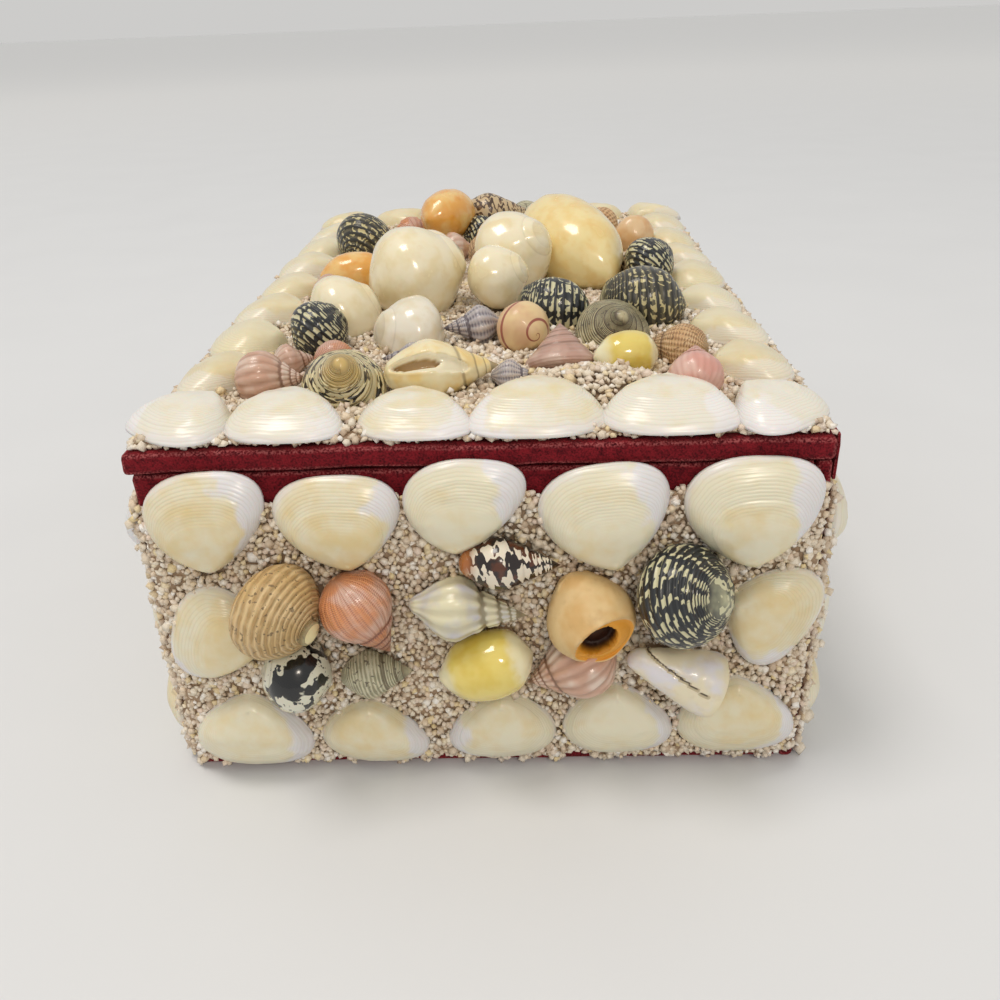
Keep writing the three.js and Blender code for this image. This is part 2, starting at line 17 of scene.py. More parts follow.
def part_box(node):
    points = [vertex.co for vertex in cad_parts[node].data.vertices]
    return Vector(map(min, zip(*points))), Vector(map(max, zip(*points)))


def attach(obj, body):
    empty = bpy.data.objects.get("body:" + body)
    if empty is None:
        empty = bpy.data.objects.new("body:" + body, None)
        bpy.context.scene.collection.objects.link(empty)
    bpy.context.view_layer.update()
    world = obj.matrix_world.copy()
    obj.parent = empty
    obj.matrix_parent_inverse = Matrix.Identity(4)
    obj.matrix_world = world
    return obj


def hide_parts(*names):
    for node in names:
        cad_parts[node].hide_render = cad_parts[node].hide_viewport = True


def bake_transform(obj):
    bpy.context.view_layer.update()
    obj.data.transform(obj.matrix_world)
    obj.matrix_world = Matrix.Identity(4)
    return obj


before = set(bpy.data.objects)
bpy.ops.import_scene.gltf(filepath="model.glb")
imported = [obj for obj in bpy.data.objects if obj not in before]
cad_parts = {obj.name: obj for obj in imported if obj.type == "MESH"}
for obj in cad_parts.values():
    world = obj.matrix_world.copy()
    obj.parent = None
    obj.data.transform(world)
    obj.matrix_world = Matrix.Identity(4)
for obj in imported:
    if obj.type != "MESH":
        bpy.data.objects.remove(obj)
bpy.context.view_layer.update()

LOG = logging.getLogger("shell_box")
MM = 0.001
SEED = 7
BOX_BODY = "box"
LID_BODY = "lid"
PAPER = "flocked_paper"
SAND = "coral_sand"
SAND_MARGIN = 0.8  # the paper left bare beside the sand, in millimetres
SAND_DEPTH = 2.0
FUSED_SINK = 0.6  # how far the CAD's fused clams sink into the sand
NAMED_SINK = 0.35  # how far its other clams do
END_GAP = 2.6  # the paper between the rim and the sand on the end walls
SIDE_GAP = 4.5  # the same on the long sides
BACK_CLAMS_SEED = 200
SIDE_CLAMS_SEED = 300
LID_FRONT_SEED = 400
LID_BORDER_SEED = 420


def smooth_step(low: float, high: float, value: np.ndarray) -> np.ndarray:
    """Rises from 0 to 1 between two values without a corner.

    Args:
        low: Where the rise starts.
        high: Where it ends.
        value: The values to weigh.

    Returns:
        A weight for each value.
    """
    share = np.clip((value - low) / (high - low), 0.0, 1.0)
    return share * share * (3.0 - 2.0 * share)


def waves(points: np.ndarray, period: float, seed: int) -> np.ndarray:
    """Smooth noise made of a few sine waves in random directions.

    Args:
        points: Places, one per row.
        period: The length of the longest wave, in the units of the points.
        seed: Chooses the directions.

    Returns:
        A value from about -1 to 1 for each point.
    """
    rng = np.random.default_rng(seed)
    total = np.zeros(len(points))
    for octave in range(7):
        direction = rng.normal(size=points.shape[1])
        direction /= np.linalg.norm(direction)
        pitch = period / (1.0 + 0.55 * octave)
        total += np.sin(points @ direction * 2 * math.pi / pitch + rng.uniform(0, 2 * math.pi))
    return total / 4.0


@dataclass
class Surface:
    """A mesh on its way to Blender.

    Attributes:
        points: Vertex places in millimetres, one per row.
        faces: Arrays of vertex indices, one array for each number of corners.
        corners: For each array of faces, its corners' places on the growth map.
        values: Named numbers, one for each vertex, that the finishes read.
    """

    points: np.ndarray
    faces: list[np.ndarray]
    corners: list[np.ndarray] | None
    values: dict[str, np.ndarray]

    def turned(self, heading: float, tilt: float = 0.0, roll: float = 0.0) -> "Surface":
        """Turns the shell on the face it lies on.

        Args:
            heading: Where its +Y end points, in degrees from the face's first axis.
            tilt: How far that end is lifted off the face, in degrees.
            roll: How far the shell is turned about its own length, in degrees.

        Returns:
            The turned copy.
        """
        turn = (
            Matrix.Rotation(math.radians(heading - 90), 3, "Z")
            @ Matrix.Rotation(math.radians(tilt), 3, "X")
            @ Matrix.Rotation(math.radians(roll), 3, "Y")
        )
        return replace(self, points=self.points @ np.array(turn).T)

    def moved(self, offset: np.ndarray) -> "Surface":
        """The surface moved by an offset in millimetres."""
        return replace(self, points=self.points + np.asarray(offset))


def joined(surfaces: list[Surface]) -> Surface:
    """Several surfaces as one mesh.

    Args:
        surfaces: Surfaces with the same named values and kinds of faces.

    Returns:
        The joined surface.
    """
    starts = np.cumsum([0] + [len(s.points) for s in surfaces[:-1]])
    faces = [face + start for s, start in zip(surfaces, starts) for face in s.faces]
    corners = None
    if surfaces[0].corners is not None:
        corners = [corner for s in surfaces for corner in s.corners]
    names = surfaces[0].values
    values = {name: np.concatenate([s.values[name] for s in surfaces]) for name in names}
    return Surface(np.concatenate([s.points for s in surfaces]), faces, corners, values)


def make_mesh(name: str, surface: Surface, finish: bpy.types.Material) -> bpy.types.Object:
    """Makes the Blender object of a surface.

    Args:
        name: The piece's name.
        surface: Its mesh, in the frame of the box.
        finish: Its material.

    Returns:
        The object.
    """
    mesh = bpy.data.meshes.new(name)
    sizes = np.concatenate([np.full(len(face), face.shape[1]) for face in surface.faces])
    corners = np.concatenate([face.ravel() for face in surface.faces])
    starts = np.concatenate([[0], np.cumsum(sizes)[:-1]])
    mesh.vertices.add(len(surface.points))
    mesh.vertices.foreach_set("co", (surface.points * MM).astype(np.float32).ravel())
    mesh.loops.add(len(corners))
    mesh.loops.foreach_set("vertex_index", corners.astype(np.int32))
    mesh.polygons.add(len(sizes))
    mesh.polygons.foreach_set("loop_start", starts.astype(np.int32))
    mesh.update(calc_edges=True)
    if surface.corners is not None:
        growth = mesh.uv_layers.new(name="growth")
        flat = np.concatenate([corner.reshape(-1, 2) for corner in surface.corners])
        growth.data.foreach_set("uv", flat.astype(np.float32).ravel())
    for key, numbers in surface.values.items():
        attribute = mesh.attributes.new(key, "FLOAT", "POINT")
        attribute.data.foreach_set("value", numbers.astype(np.float32))
    mesh.shade_smooth()
    mesh.materials.append(finish)
    piece = bpy.data.objects.new(name, mesh)
    bpy.context.scene.collection.objects.link(piece)
    LOG.info("%s: %d faces", name, len(sizes))
    return piece


def make_piece(
    name: str, surface: Surface, finish: bpy.types.Material, body: str, node: str
) -> bpy.types.Object:
    """Makes a piece that rides on a body in place of a CAD node.

    Args:
        name: The piece's name.
        surface: Its mesh, in the frame of the box.
        finish: Its material.
        body: The CAD body it moves with.
        node: The CAD node it stands for.

    Returns:
        The object.
    """
    piece = make_mesh(name, surface, finish)
    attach(piece, body)
    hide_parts(node)
    return piece


# --------------------------------------------------------------------------- finishes


def linear(colour: str) -> tuple[float, float, float, float]:
    """An sRGB hex colour as linear RGBA.

    Args:
        colour: Six hex digits after a #.

    Returns:
        The colour that the shaders take.
    """
    parts = [int(colour[place : place + 2], 16) / 255 for place in (1, 3, 5)]
    bent = [part / 12.92 if part <= 0.04045 else ((part + 0.055) / 1.055) ** 2.4 for part in parts]
    return (bent[0], bent[1], bent[2], 1.0)


def set_stops(ramp: bpy.types.Node, stops: list[tuple[float, str]]) -> bpy.types.NodeSocket:
    """Gives a colour ramp its stops.

    Args:
        ramp: The ramp's node.
        stops: Pairs of a place and an sRGB hex colour.

    Returns:
        The ramp's colour output.
    """
    elements = ramp.color_ramp.elements
    while len(elements) < len(stops):
        elements.new(0.5)
    for element, (place, colour) in zip(elements, stops):
        element.position = place
        element.color = linear(colour)
    return ramp.outputs["Color"]


def per_mm(size_mm: float) -> float:
    """The scale that makes a pattern's features about this many millimetres across."""
    return 1.0 / (size_mm * MM)


class Step(Enum):
    """The kinds of node that the finishes use, each with its type, settings and output."""

    ADD = ("Math", {"operation": "ADD"}, "Value")
    TIMES = ("Math", {"operation": "MULTIPLY"}, "Value")
    TIMES_ADD = ("Math", {"operation": "MULTIPLY_ADD"}, "Value")
    SINE = ("Math", {"operation": "SINE"}, "Value")
    SWING = ("Math", {"operation": "PINGPONG"}, "Value")
    LARGER = ("Math", {"operation": "MAXIMUM"}, "Value")
    LENGTH = ("VectorMath", {"operation": "LENGTH"}, "Value")
    RISE = ("MapRange", {"interpolation_type": "SMOOTHSTEP"}, "Result")
    BLEND = ("Mix", {"data_type": "RGBA"}, "Result")
    TINTS = ("ValToRGB", {}, "Color")
    SPECKLE = ("TexNoise", {}, "Fac")
    READ = ("Attribute", {}, "Fac")
    PLACE = ("TexCoord", {}, "Object")
    GROWTH = ("UVMap", {"uv_map": "growth"}, "UV")
    SPLIT = ("SeparateXYZ", {}, "X")
    NUMBER = ("Value", {}, "Value")
    BUMP = ("Bump", {}, "Normal")


Socket = bpy.types.NodeSocket
Given = float | str | Socket | None


def add_node(tree: bpy.types.NodeTree, step: Step, *given: Given, **settings: str) -> Socket:
    """Adds a node with its settings, its values and its links.

    Args:
        tree: The material's node tree.
        step: The kind of node.
        given: For each input in turn a number, a hex colour, the output that feeds it,
            or None to leave it as it is.
        settings: The node's own properties, besides those that the step brings.

    Returns:
        The output that the step is for.
    """
    kind, usual, output = step.value
    node = tree.nodes.new("ShaderNode" + kind)
    for key, setting in {**usual, **settings}.items():
        setattr(node, key, setting)
    inputs = [socket for socket in node.inputs if socket.enabled]
    for socket, entry in zip(inputs, given):
        if isinstance(entry, Socket):
            tree.links.new(entry, socket)
        elif entry is not None:
            socket.default_value = linear(entry) if isinstance(entry, str) else entry
    return next(socket for socket in node.outputs if socket.enabled and socket.name == output)


@dataclass(frozen=True)
class Workbench:
    """A material being made: its node tree, its shader and the places its patterns use."""

    material: bpy.types.Material
    tree: bpy.types.NodeTree
    shader: bpy.types.Node
    place: Socket

    FULL = 1.0  # the strength at which the relief stands as high as it is measured

    def add(self, step: Step, *given: Given, **settings: str) -> Socket:
        """Adds a node to the material, as add_node does."""
        return add_node(self.tree, step, *given, **settings)

    def dress(
        self,
        colour: Socket,
        roughness: float | Socket,
        height_mm: Socket | None = None,
    ) -> bpy.types.Material:
        """Connects the colour, the roughness and the relief.

        Args:
            colour: The base colour's output.
            roughness: A number or an output.
            height_mm: The height of the fine relief in millimetres, or nothing.

        Returns:
            The finished material.
        """
        self.tree.links.new(colour, self.shader.inputs["Base Color"])
        if isinstance(roughness, float):
            self.shader.inputs["Roughness"].default_value = roughness
        else:
            self.tree.links.new(roughness, self.shader.inputs["Roughness"])
        if height_mm is not None:
            normal = self.add(Step.BUMP, self.FULL, MM, None, height_mm)
            self.tree.links.new(normal, self.shader.inputs["Normal"])
        return self.material


def start_material(name: str, **constants: float) -> Workbench:
    """Starts a material with its plain shader values.

    Args:
        name: The finish's name.
        constants: Values for the shader's sockets, with _ for each space of their names.

    Returns:
        The workbench to finish it on.
    """
    material = bpy.data.materials.new(name)
    material.use_nodes = True
    tree = material.node_tree
    shader = tree.nodes["Principled BSDF"]
    for key, constant in constants.items():
        shader.inputs[key.replace("_", " ")].default_value = constant
    return Workbench(material, tree, shader, add_node(tree, Step.PLACE))


@dataclass(frozen=True)
class FlockedPaper:
    """Short rayon fibres blown on glued paper: dull and deep red, rubbed pale along its folds."""

    # lit is the red as painted sheen, and deep is the same red as painted shade of the pile
    lit: str = "#821d26"
    deep: str = "#430c14"
    worn: str = "#a8605f"

    def make(self) -> bpy.types.Material:
        """Mottled with painted sheen and painted shade where the pile lies this way and that, and paler along
        the folds.

        Returns:
            The material.
        """
        bench = start_material(PAPER, IOR=1.5, Sheen_Weight=0.25, Sheen_Roughness=0.45)
        bench.shader.inputs["Sheen Tint"].default_value = linear("#c46a66")
        bench.shader.inputs["Specular IOR Level"].default_value = 0.15
        add, here = bench.add, bench.place
        pile = add(Step.SPECKLE, here, per_mm(0.35), 3.0)
        clump = add(Step.SPECKLE, here, per_mm(1.6), 3.0)
        nap = add(Step.SPECKLE, here, per_mm(8.0), 2.0)
        # painted sheen and shade: the pile's noise picks between the lit and the deep red, standing in for
        # light catching the pile unevenly
        dark = add(Step.ADD, add(Step.TIMES, pile, 0.6), add(Step.TIMES, clump, 0.4))
        ground = add(Step.BLEND, add(Step.RISE, dark, 0.32, 0.62), self.deep, self.lit)
        rubbed = add(Step.ADD, add(Step.TIMES, nap, 0.5), add(Step.READ, attribute_name="fold"))
        rubbed = add(Step.TIMES, add(Step.RISE, rubbed, 0.3, 1.3), add(Step.RISE, pile, 0.4, 0.65))
        colour = add(Step.BLEND, add(Step.TIMES, rubbed, 0.75), ground, self.worn)
        relief = add(Step.ADD, add(Step.TIMES, pile, 0.3), add(Step.TIMES, clump, 0.5))
        return bench.dress(colour, 0.95, relief)


@dataclass(frozen=True)
class CoralSand:
    """Washed coral grit set in a clear adhesive: chalky beige and pink grains, some yellow, some white."""

    # The bed's two browns are painted shadow between the grains; the real adhesive is clear.
    glue: str = "#8c7460"
    stain: str = "#b09678"

    def make(self) -> bpy.types.Material:
        """The grains, with a colour of its own for every one, and painted shade in their fine hollows.

        Returns:
            The material.
        """
        bench = start_material(SAND, IOR=1.5, Coat_Weight=0.1, Coat_Roughness=0.35)
        add, here = bench.add, bench.place
        stops = [
            (0.0, "#c6b098"),
            (0.1, "#dac8b0"),
            (0.35, "#eaddc8"),
            (0.55, "#f0e6d3"),
            (0.68, "#e7d4c3"),
            (0.8, "#ecd8a6"),
            (0.88, "#f6efe3"),
            (1.0, "#fbf8f2"),
        ]
        tint = set_stops(add(Step.TINTS, add(Step.READ, attribute_name="grain")).node, stops)
        # painted shade: where the grit noise, and so the bump, is low, the grains are darkened towards brown
        grit = add(Step.SPECKLE, here, per_mm(0.4), 2.0)
        shade = add(Step.TIMES, add(Step.RISE, grit, 0.62, 0.3), 0.2)
        colour = add(Step.BLEND, shade, tint, "#a08468")
        return bench.dress(colour, 0.6, add(Step.TIMES, grit, 0.12))

    def make_shadow_bed(self) -> bpy.types.Material:
        """The glued bed that shows between the grains: brown with paler blots, as painted shadow between
        them.

        Returns:
            The material.
        """
        bench = start_material("glue_bed", IOR=1.47)
        add = bench.add
        # painted shadow: the bed under the grains is coloured brown where only shade falls between them
        blot = add(Step.SPECKLE, bench.place, per_mm(1.2), 3.0)
        colour = add(Step.BLEND, blot, self.glue, self.stain)
        return bench.dress(colour, 0.6, add(Step.TIMES, blot, 0.4))


@dataclass(frozen=True)
class ClamShell:
    """Tumbled venus clam: smooth and waxy, with fine growth lines and a cool, pale margin."""

    name: str = "ivory_clam"
    body: str = "#e2dcc2"
    patch: str = "#dcc792"
    cool: str = "#dedde2"

    def make(self) -> bpy.types.Material:
        """Cream over the back, bluish white at the drawn-out end and the margin, with painted shade in the
        growth lines.

        Returns:
            The material.
        """
        bench = start_material(
            self.name,
            IOR=1.53,
            Subsurface_Weight=0.1,
            Subsurface_Scale=0.002,
            Coat_Weight=0.3,
            Coat_Roughness=0.2,
        )
        add, here = bench.add, bench.place
        growth, blotch = add(Step.READ, attribute_name="growth"), add(Step.SPECKLE, here, per_mm(6.0), 3.0)
        spots = add(Step.SPECKLE, here, per_mm(4.0), 3.0)
        stain = add(Step.ADD, spots, add(Step.READ, attribute_name="tone"))
        stain = add(Step.ADD, stain, add(Step.TIMES, add(Step.READ, attribute_name="inner"), 0.14))
        cream = add(Step.BLEND, add(Step.RISE, stain, 0.5, 1.15), self.body, self.patch)
        drift = add(Step.ADD, add(Step.READ, attribute_name="side"), add(Step.TIMES, blotch, 0.75))
        pale = add(Step.ADD, drift, add(Step.TIMES, growth, 0.3))
        cool = add(Step.TIMES, add(Step.RISE, pale, 0.84, 0.96), 0.85)
        colour = add(Step.BLEND, cool, cream, self.cool)
        rim = add(Step.ADD, growth, add(Step.TIMES, blotch, 0.2))
        rim = add(Step.TIMES, add(Step.RISE, rim, 1.02, 1.1), 0.6)
        colour = add(Step.BLEND, rim, colour, "#e6e2e4")
        # painted shade: the troughs of the growth lines are darkened towards brown, most towards the margin
        outer = add(Step.RISE, add(Step.ADD, growth, add(Step.TIMES, blotch, 0.4)), 0.55, 0.95)
        lines = add(Step.TIMES, add(Step.SINE, add(Step.READ, attribute_name="lines")), outer)
        shade = add(Step.TIMES, add(Step.RISE, lines, -0.2, -1.0), 0.12)
        colour = add(Step.BLEND, shade, colour, "#a08c62")
        gloss = add(Step.ADD, add(Step.TIMES, blotch, 0.14), 0.24)
        return bench.dress(colour, gloss, add(Step.TIMES, lines, 0.011))


class Pattern(Enum):
    """How a snail's colours lie on its whorls."""

    PLAIN = "plain"
    RIBBED = "ribbed"
    ZIGZAG = "zigzag"
    BLOTCHED = "blotched"
    TENTED = "tented"
    BANDED = "banded"
    WORN = "worn"


@dataclass(frozen=True)
class SnailShell:
    """A sea snail's finish: glazed, waxy or dull, and patterned along its growth.

    Attributes:
        name: The finish's name.
        ground: The main colour.
        mark: The colour of the marks, or of the ribs' grooves.
        accent: A second shade of the ground, or of the marks.
        pattern: How the marks lie.
        roughness: Of the bare shell.
        coat: How much glaze lies on it.
        marks: How many marks go round one turn.
        cords: How many fine ridges lie across one whorl.
        threads: How many fine ribs go round one turn.
        fine_mm: The height of those ridges and ribs.
        lip: The colour of its lip, where the mouth shows.
        throat: The colour deep in its mouth, darkened as painted shadow in the hollow.
        pit: The colour of its pits and specks.
        pale: How far the ground wins over the marks.
        end: The colour of its worn or pale ends.
        end_shares: How far from the apex that colour reaches, and where it starts again at the foot.
    """

    name: str
    ground: str
    mark: str
    accent: str
    pattern: Pattern = Pattern.PLAIN
    roughness: float = 0.35
    coat: float = 0.2
    marks: float = 14.0
    cords: float = 0.0
    threads: float = 0.0
    fine_mm: float = 0.1
    lip: str = "#e09a3a"
    throat: str = "#33180a"
    pit: str = "#4a4034"
    pale: float = 0.0
    end: str = "#c2c09a"
    end_shares: tuple[float, float] = (0.0, 1.0)

    WEATHERED = 0.4  # the roughness over which a shell has lost its polish

    def make(self) -> bpy.types.Material:
        """One kind of snail, coloured along its whorls, with painted shade in its grooves and deep in its
        mouth.

        Returns:
            The material.
        """
        bench = start_material(
            self.name,
            IOR=1.53,
            Subsurface_Weight=0.06,
            Subsurface_Scale=0.0015,
            Coat_Weight=self.coat,
            Coat_Roughness=0.08,
        )
        add, here = bench.add, bench.place
        turn = add(Step.SPLIT, add(Step.GROWTH))
        across = turn.node.outputs["Y"]
        cloud, relief = add(Step.SPECKLE, here, per_mm(4.5), 2.0), add(Step.READ, attribute_name="relief")
        fine = self.fine_relief(bench, turn, across)
        colour = self.ended(bench, self.coloured(bench, turn, across, cloud, relief, fine))
        # painted shade: sutures and rib grooves are darkened towards brown where shade falls in them
        low = add(Step.ADD, relief, add(Step.TIMES, fine, 0.3))
        groove = add(Step.TIMES, add(Step.RISE, low, -0.25, -1.2), 0.5)
        colour = add(Step.BLEND, groove, colour, "#54402e")
        mouth = add(Step.READ, attribute_name="mouth")
        # painted shadow: the mouth darkens from the lip colour to the throat colour as it goes in
        inside = add(Step.BLEND, add(Step.RISE, mouth, 0.5, 0.9), self.lip, self.throat)
        colour = add(Step.BLEND, add(Step.RISE, mouth, 0.04, 0.16), colour, inside)
        gloss = add(Step.TIMES_ADD, cloud, 0.25, self.roughness - 0.12)
        grit = 0.05 if self.roughness > self.WEATHERED else 0.012
        grain = add(Step.TIMES, add(Step.SPECKLE, here, per_mm(0.8), 3.0), grit)
        height = add(Step.ADD, add(Step.TIMES, fine, self.fine_mm / 2), grain)
        return bench.dress(colour, gloss, height)

    def ended(self, bench: Workbench, colour: Socket) -> Socket:
        """The colour with the shell's paler ends.

        Args:
            bench: The material's workbench.
            colour: The colour before.

        Returns:
            The colour's output.
        """
        add, here = bench.add, bench.place
        apex, foot = self.end_shares
        wander = add(Step.SPECKLE, here, per_mm(2.5), 2.0)
        share = add(Step.TIMES_ADD, wander, 0.12, add(Step.READ, attribute_name="share"))
        if apex:
            colour = add(Step.BLEND, add(Step.RISE, share, apex + 0.12, apex), colour, self.end)
        if foot < 1:
            colour = add(Step.BLEND, add(Step.RISE, share, foot, foot + 0.16), colour, self.end)
        return colour

    def fine_relief(
        self, bench: Workbench, turn: Socket, across: Socket
    ) -> Socket:
        """Cords and threads too fine for the mesh.

        Args:
            bench: The material's workbench.
            turn: How many turns the shell has grown.
            across: The place across the whorl.

        Returns:
            A wave from -1 to 1, or a flat 0.
        """
        add, here = bench.add, bench.place
        total = add(Step.NUMBER)
        total.default_value = 0.0
        for count, place in ((self.cords, across), (self.threads, turn)):
            if count:
                wander = add(Step.TIMES, add(Step.SPECKLE, here, per_mm(3.0), 1.0), 1.5)
                angle = add(Step.TIMES_ADD, place, 2 * math.pi * count, wander)
                total = add(Step.ADD, total, add(Step.SINE, angle))
        return total

    def coloured(
        self,
        bench: Workbench,
        turn: Socket,
        across: Socket,
        cloud: Socket,
        relief: Socket,
        fine: Socket,
    ) -> Socket:
        """The colour before dirt and mouth.

        Args:
            bench: The material's workbench.
            turn: How many turns the shell has grown.
            across: The place across the whorl.
            cloud: Broad noise.
            relief: The height of ribs, from -1 in a groove to 1 on a crest.
            fine: The height of the fine cords and threads.

        Returns:
            The colour's output.
        """
        add, here = bench.add, bench.place
        soft = add(Step.BLEND, add(Step.RISE, cloud, 0.4, 0.68), self.ground, self.accent)
        if self.pattern is Pattern.PLAIN:
            spots = add(Step.SPECKLE, here, per_mm(2.5), 3.0)
            stain = add(Step.TIMES, add(Step.RISE, spots, 0.52, 0.8), 0.35)
            return add(Step.BLEND, stain, soft, self.mark)
        if self.pattern is Pattern.RIBBED:
            height = add(Step.TIMES_ADD, fine, 0.25, relief)
            return add(Step.BLEND, add(Step.RISE, height, -1.1, 0.5), self.mark, soft)
        if self.pattern is Pattern.WORN:
            wear = add(Step.SPECKLE, here, per_mm(1.6), 3.0)
            worn = add(Step.TIMES_ADD, wear, 4.0, add(Step.ADD, relief, fine))
            dusty = add(Step.BLEND, add(Step.RISE, worn, 0.8, 2.6), self.mark, soft)
            pits = add(Step.TIMES, add(Step.RISE, add(Step.SPECKLE, here, per_mm(0.8), 3.0), 0.6, 0.66), 0.8)
            return add(Step.BLEND, pits, dusty, self.pit)
        if self.pattern is Pattern.BANDED:
            band = add(Step.SINE, add(Step.TIMES, across, 2 * math.pi * self.marks))
            return add(Step.BLEND, add(Step.RISE, band, 0.9, 0.97), soft, self.mark)
        if self.pattern is Pattern.BLOTCHED:
            large = add(Step.RISE, add(Step.SPECKLE, here, per_mm(4.6), 2.5), 0.51, 0.53)
            small = add(Step.RISE, add(Step.SPECKLE, here, per_mm(1.1), 2.0), 0.59, 0.62)
            return add(Step.BLEND, add(Step.LARGER, large, small), self.ground, self.mark)
        return self.striped(bench, turn, across, fine)

    def striped(
        self,
        bench: Workbench,
        turn: Socket,
        across: Socket,
        fine: Socket,
    ) -> Socket:
        """Broken stripes that cross the whorls, in dashes or in tents.

        Args:
            bench: The material's workbench.
            turn: How many turns the shell has grown.
            across: The place across the whorl.
            fine: The height of the fine cords.

        Returns:
            The colour's output.
        """
        add, here = bench.add, bench.place
        tents = self.pattern is Pattern.TENTED
        wander = add(Step.SPECKLE, here, per_mm(3.0), 2.0)
        swing = add(Step.SWING, add(Step.TIMES, across, 3.2 if tents else 5.0), 0.5)
        place = add(Step.TIMES_ADD, swing, 0.12 if tents else 0.05, turn)
        place = add(Step.TIMES_ADD, wander, 0.3, place)
        stripe = add(Step.SINE, add(Step.TIMES, place, 2 * math.pi * self.marks))
        if tents:
            bars = add(Step.SINE, add(Step.TIMES_ADD, across, 10.0, wander))
            blots = add(Step.TIMES_ADD, bars, 0.8, stripe)
            spots = add(Step.SPECKLE, here, per_mm(1.3), 2.0)
            blots = add(Step.TIMES_ADD, spots, 2.4, add(Step.ADD, blots, self.pale))
            brown = add(Step.BLEND, add(Step.RISE, wander, 0.5, 0.62), self.mark, self.accent)
            return add(Step.BLEND, add(Step.RISE, blots, 1.35, 1.5), brown, self.ground)
        gaps = add(Step.SPECKLE, here, per_mm(1.7), 2.0)
        broken = add(Step.TIMES_ADD, gaps, 3.0, add(Step.ADD, stripe, self.pale))
        dashes = add(Step.TIMES, add(Step.RISE, broken, 1.62, 1.9), add(Step.RISE, fine, -0.7, -0.1))
        dark = add(Step.BLEND, add(Step.RISE, fine, 0.0, 0.9), self.mark, self.accent)
        return add(Step.BLEND, dashes, dark, self.ground)


def shell(slot: str, *colours: str, **settings: object) -> tuple[str, SnailShell]:
    """A finish with its slot in the record."""
    return slot, SnailShell(*colours, **settings)


CREAM_SLOT = "cream_shell"
YELLOW_SLOT = "yellow_shell"
TAN_SLOT = "tan_shell"
ORANGE_SLOT = "orange_shell"
PINK_SLOT = "pink_shell"
GREY_SLOT = "grey_shell"
STRIPED_SLOT = "striped_shell"
BROWN_SLOT = "brown_shell"
GLAZED = {"roughness": 0.22, "coat": 0.6}
WAXY = {"roughness": 0.35, "coat": 0.3}
DULL = {"roughness": 0.55, "coat": 0.05}
CORDED = {"pattern": Pattern.ZIGZAG, "cords": 5.0, "fine_mm": 0.22, "end_shares": (0.02, 1.0), **WAXY}
RIBBED = {"pattern": Pattern.RIBBED, **WAXY}


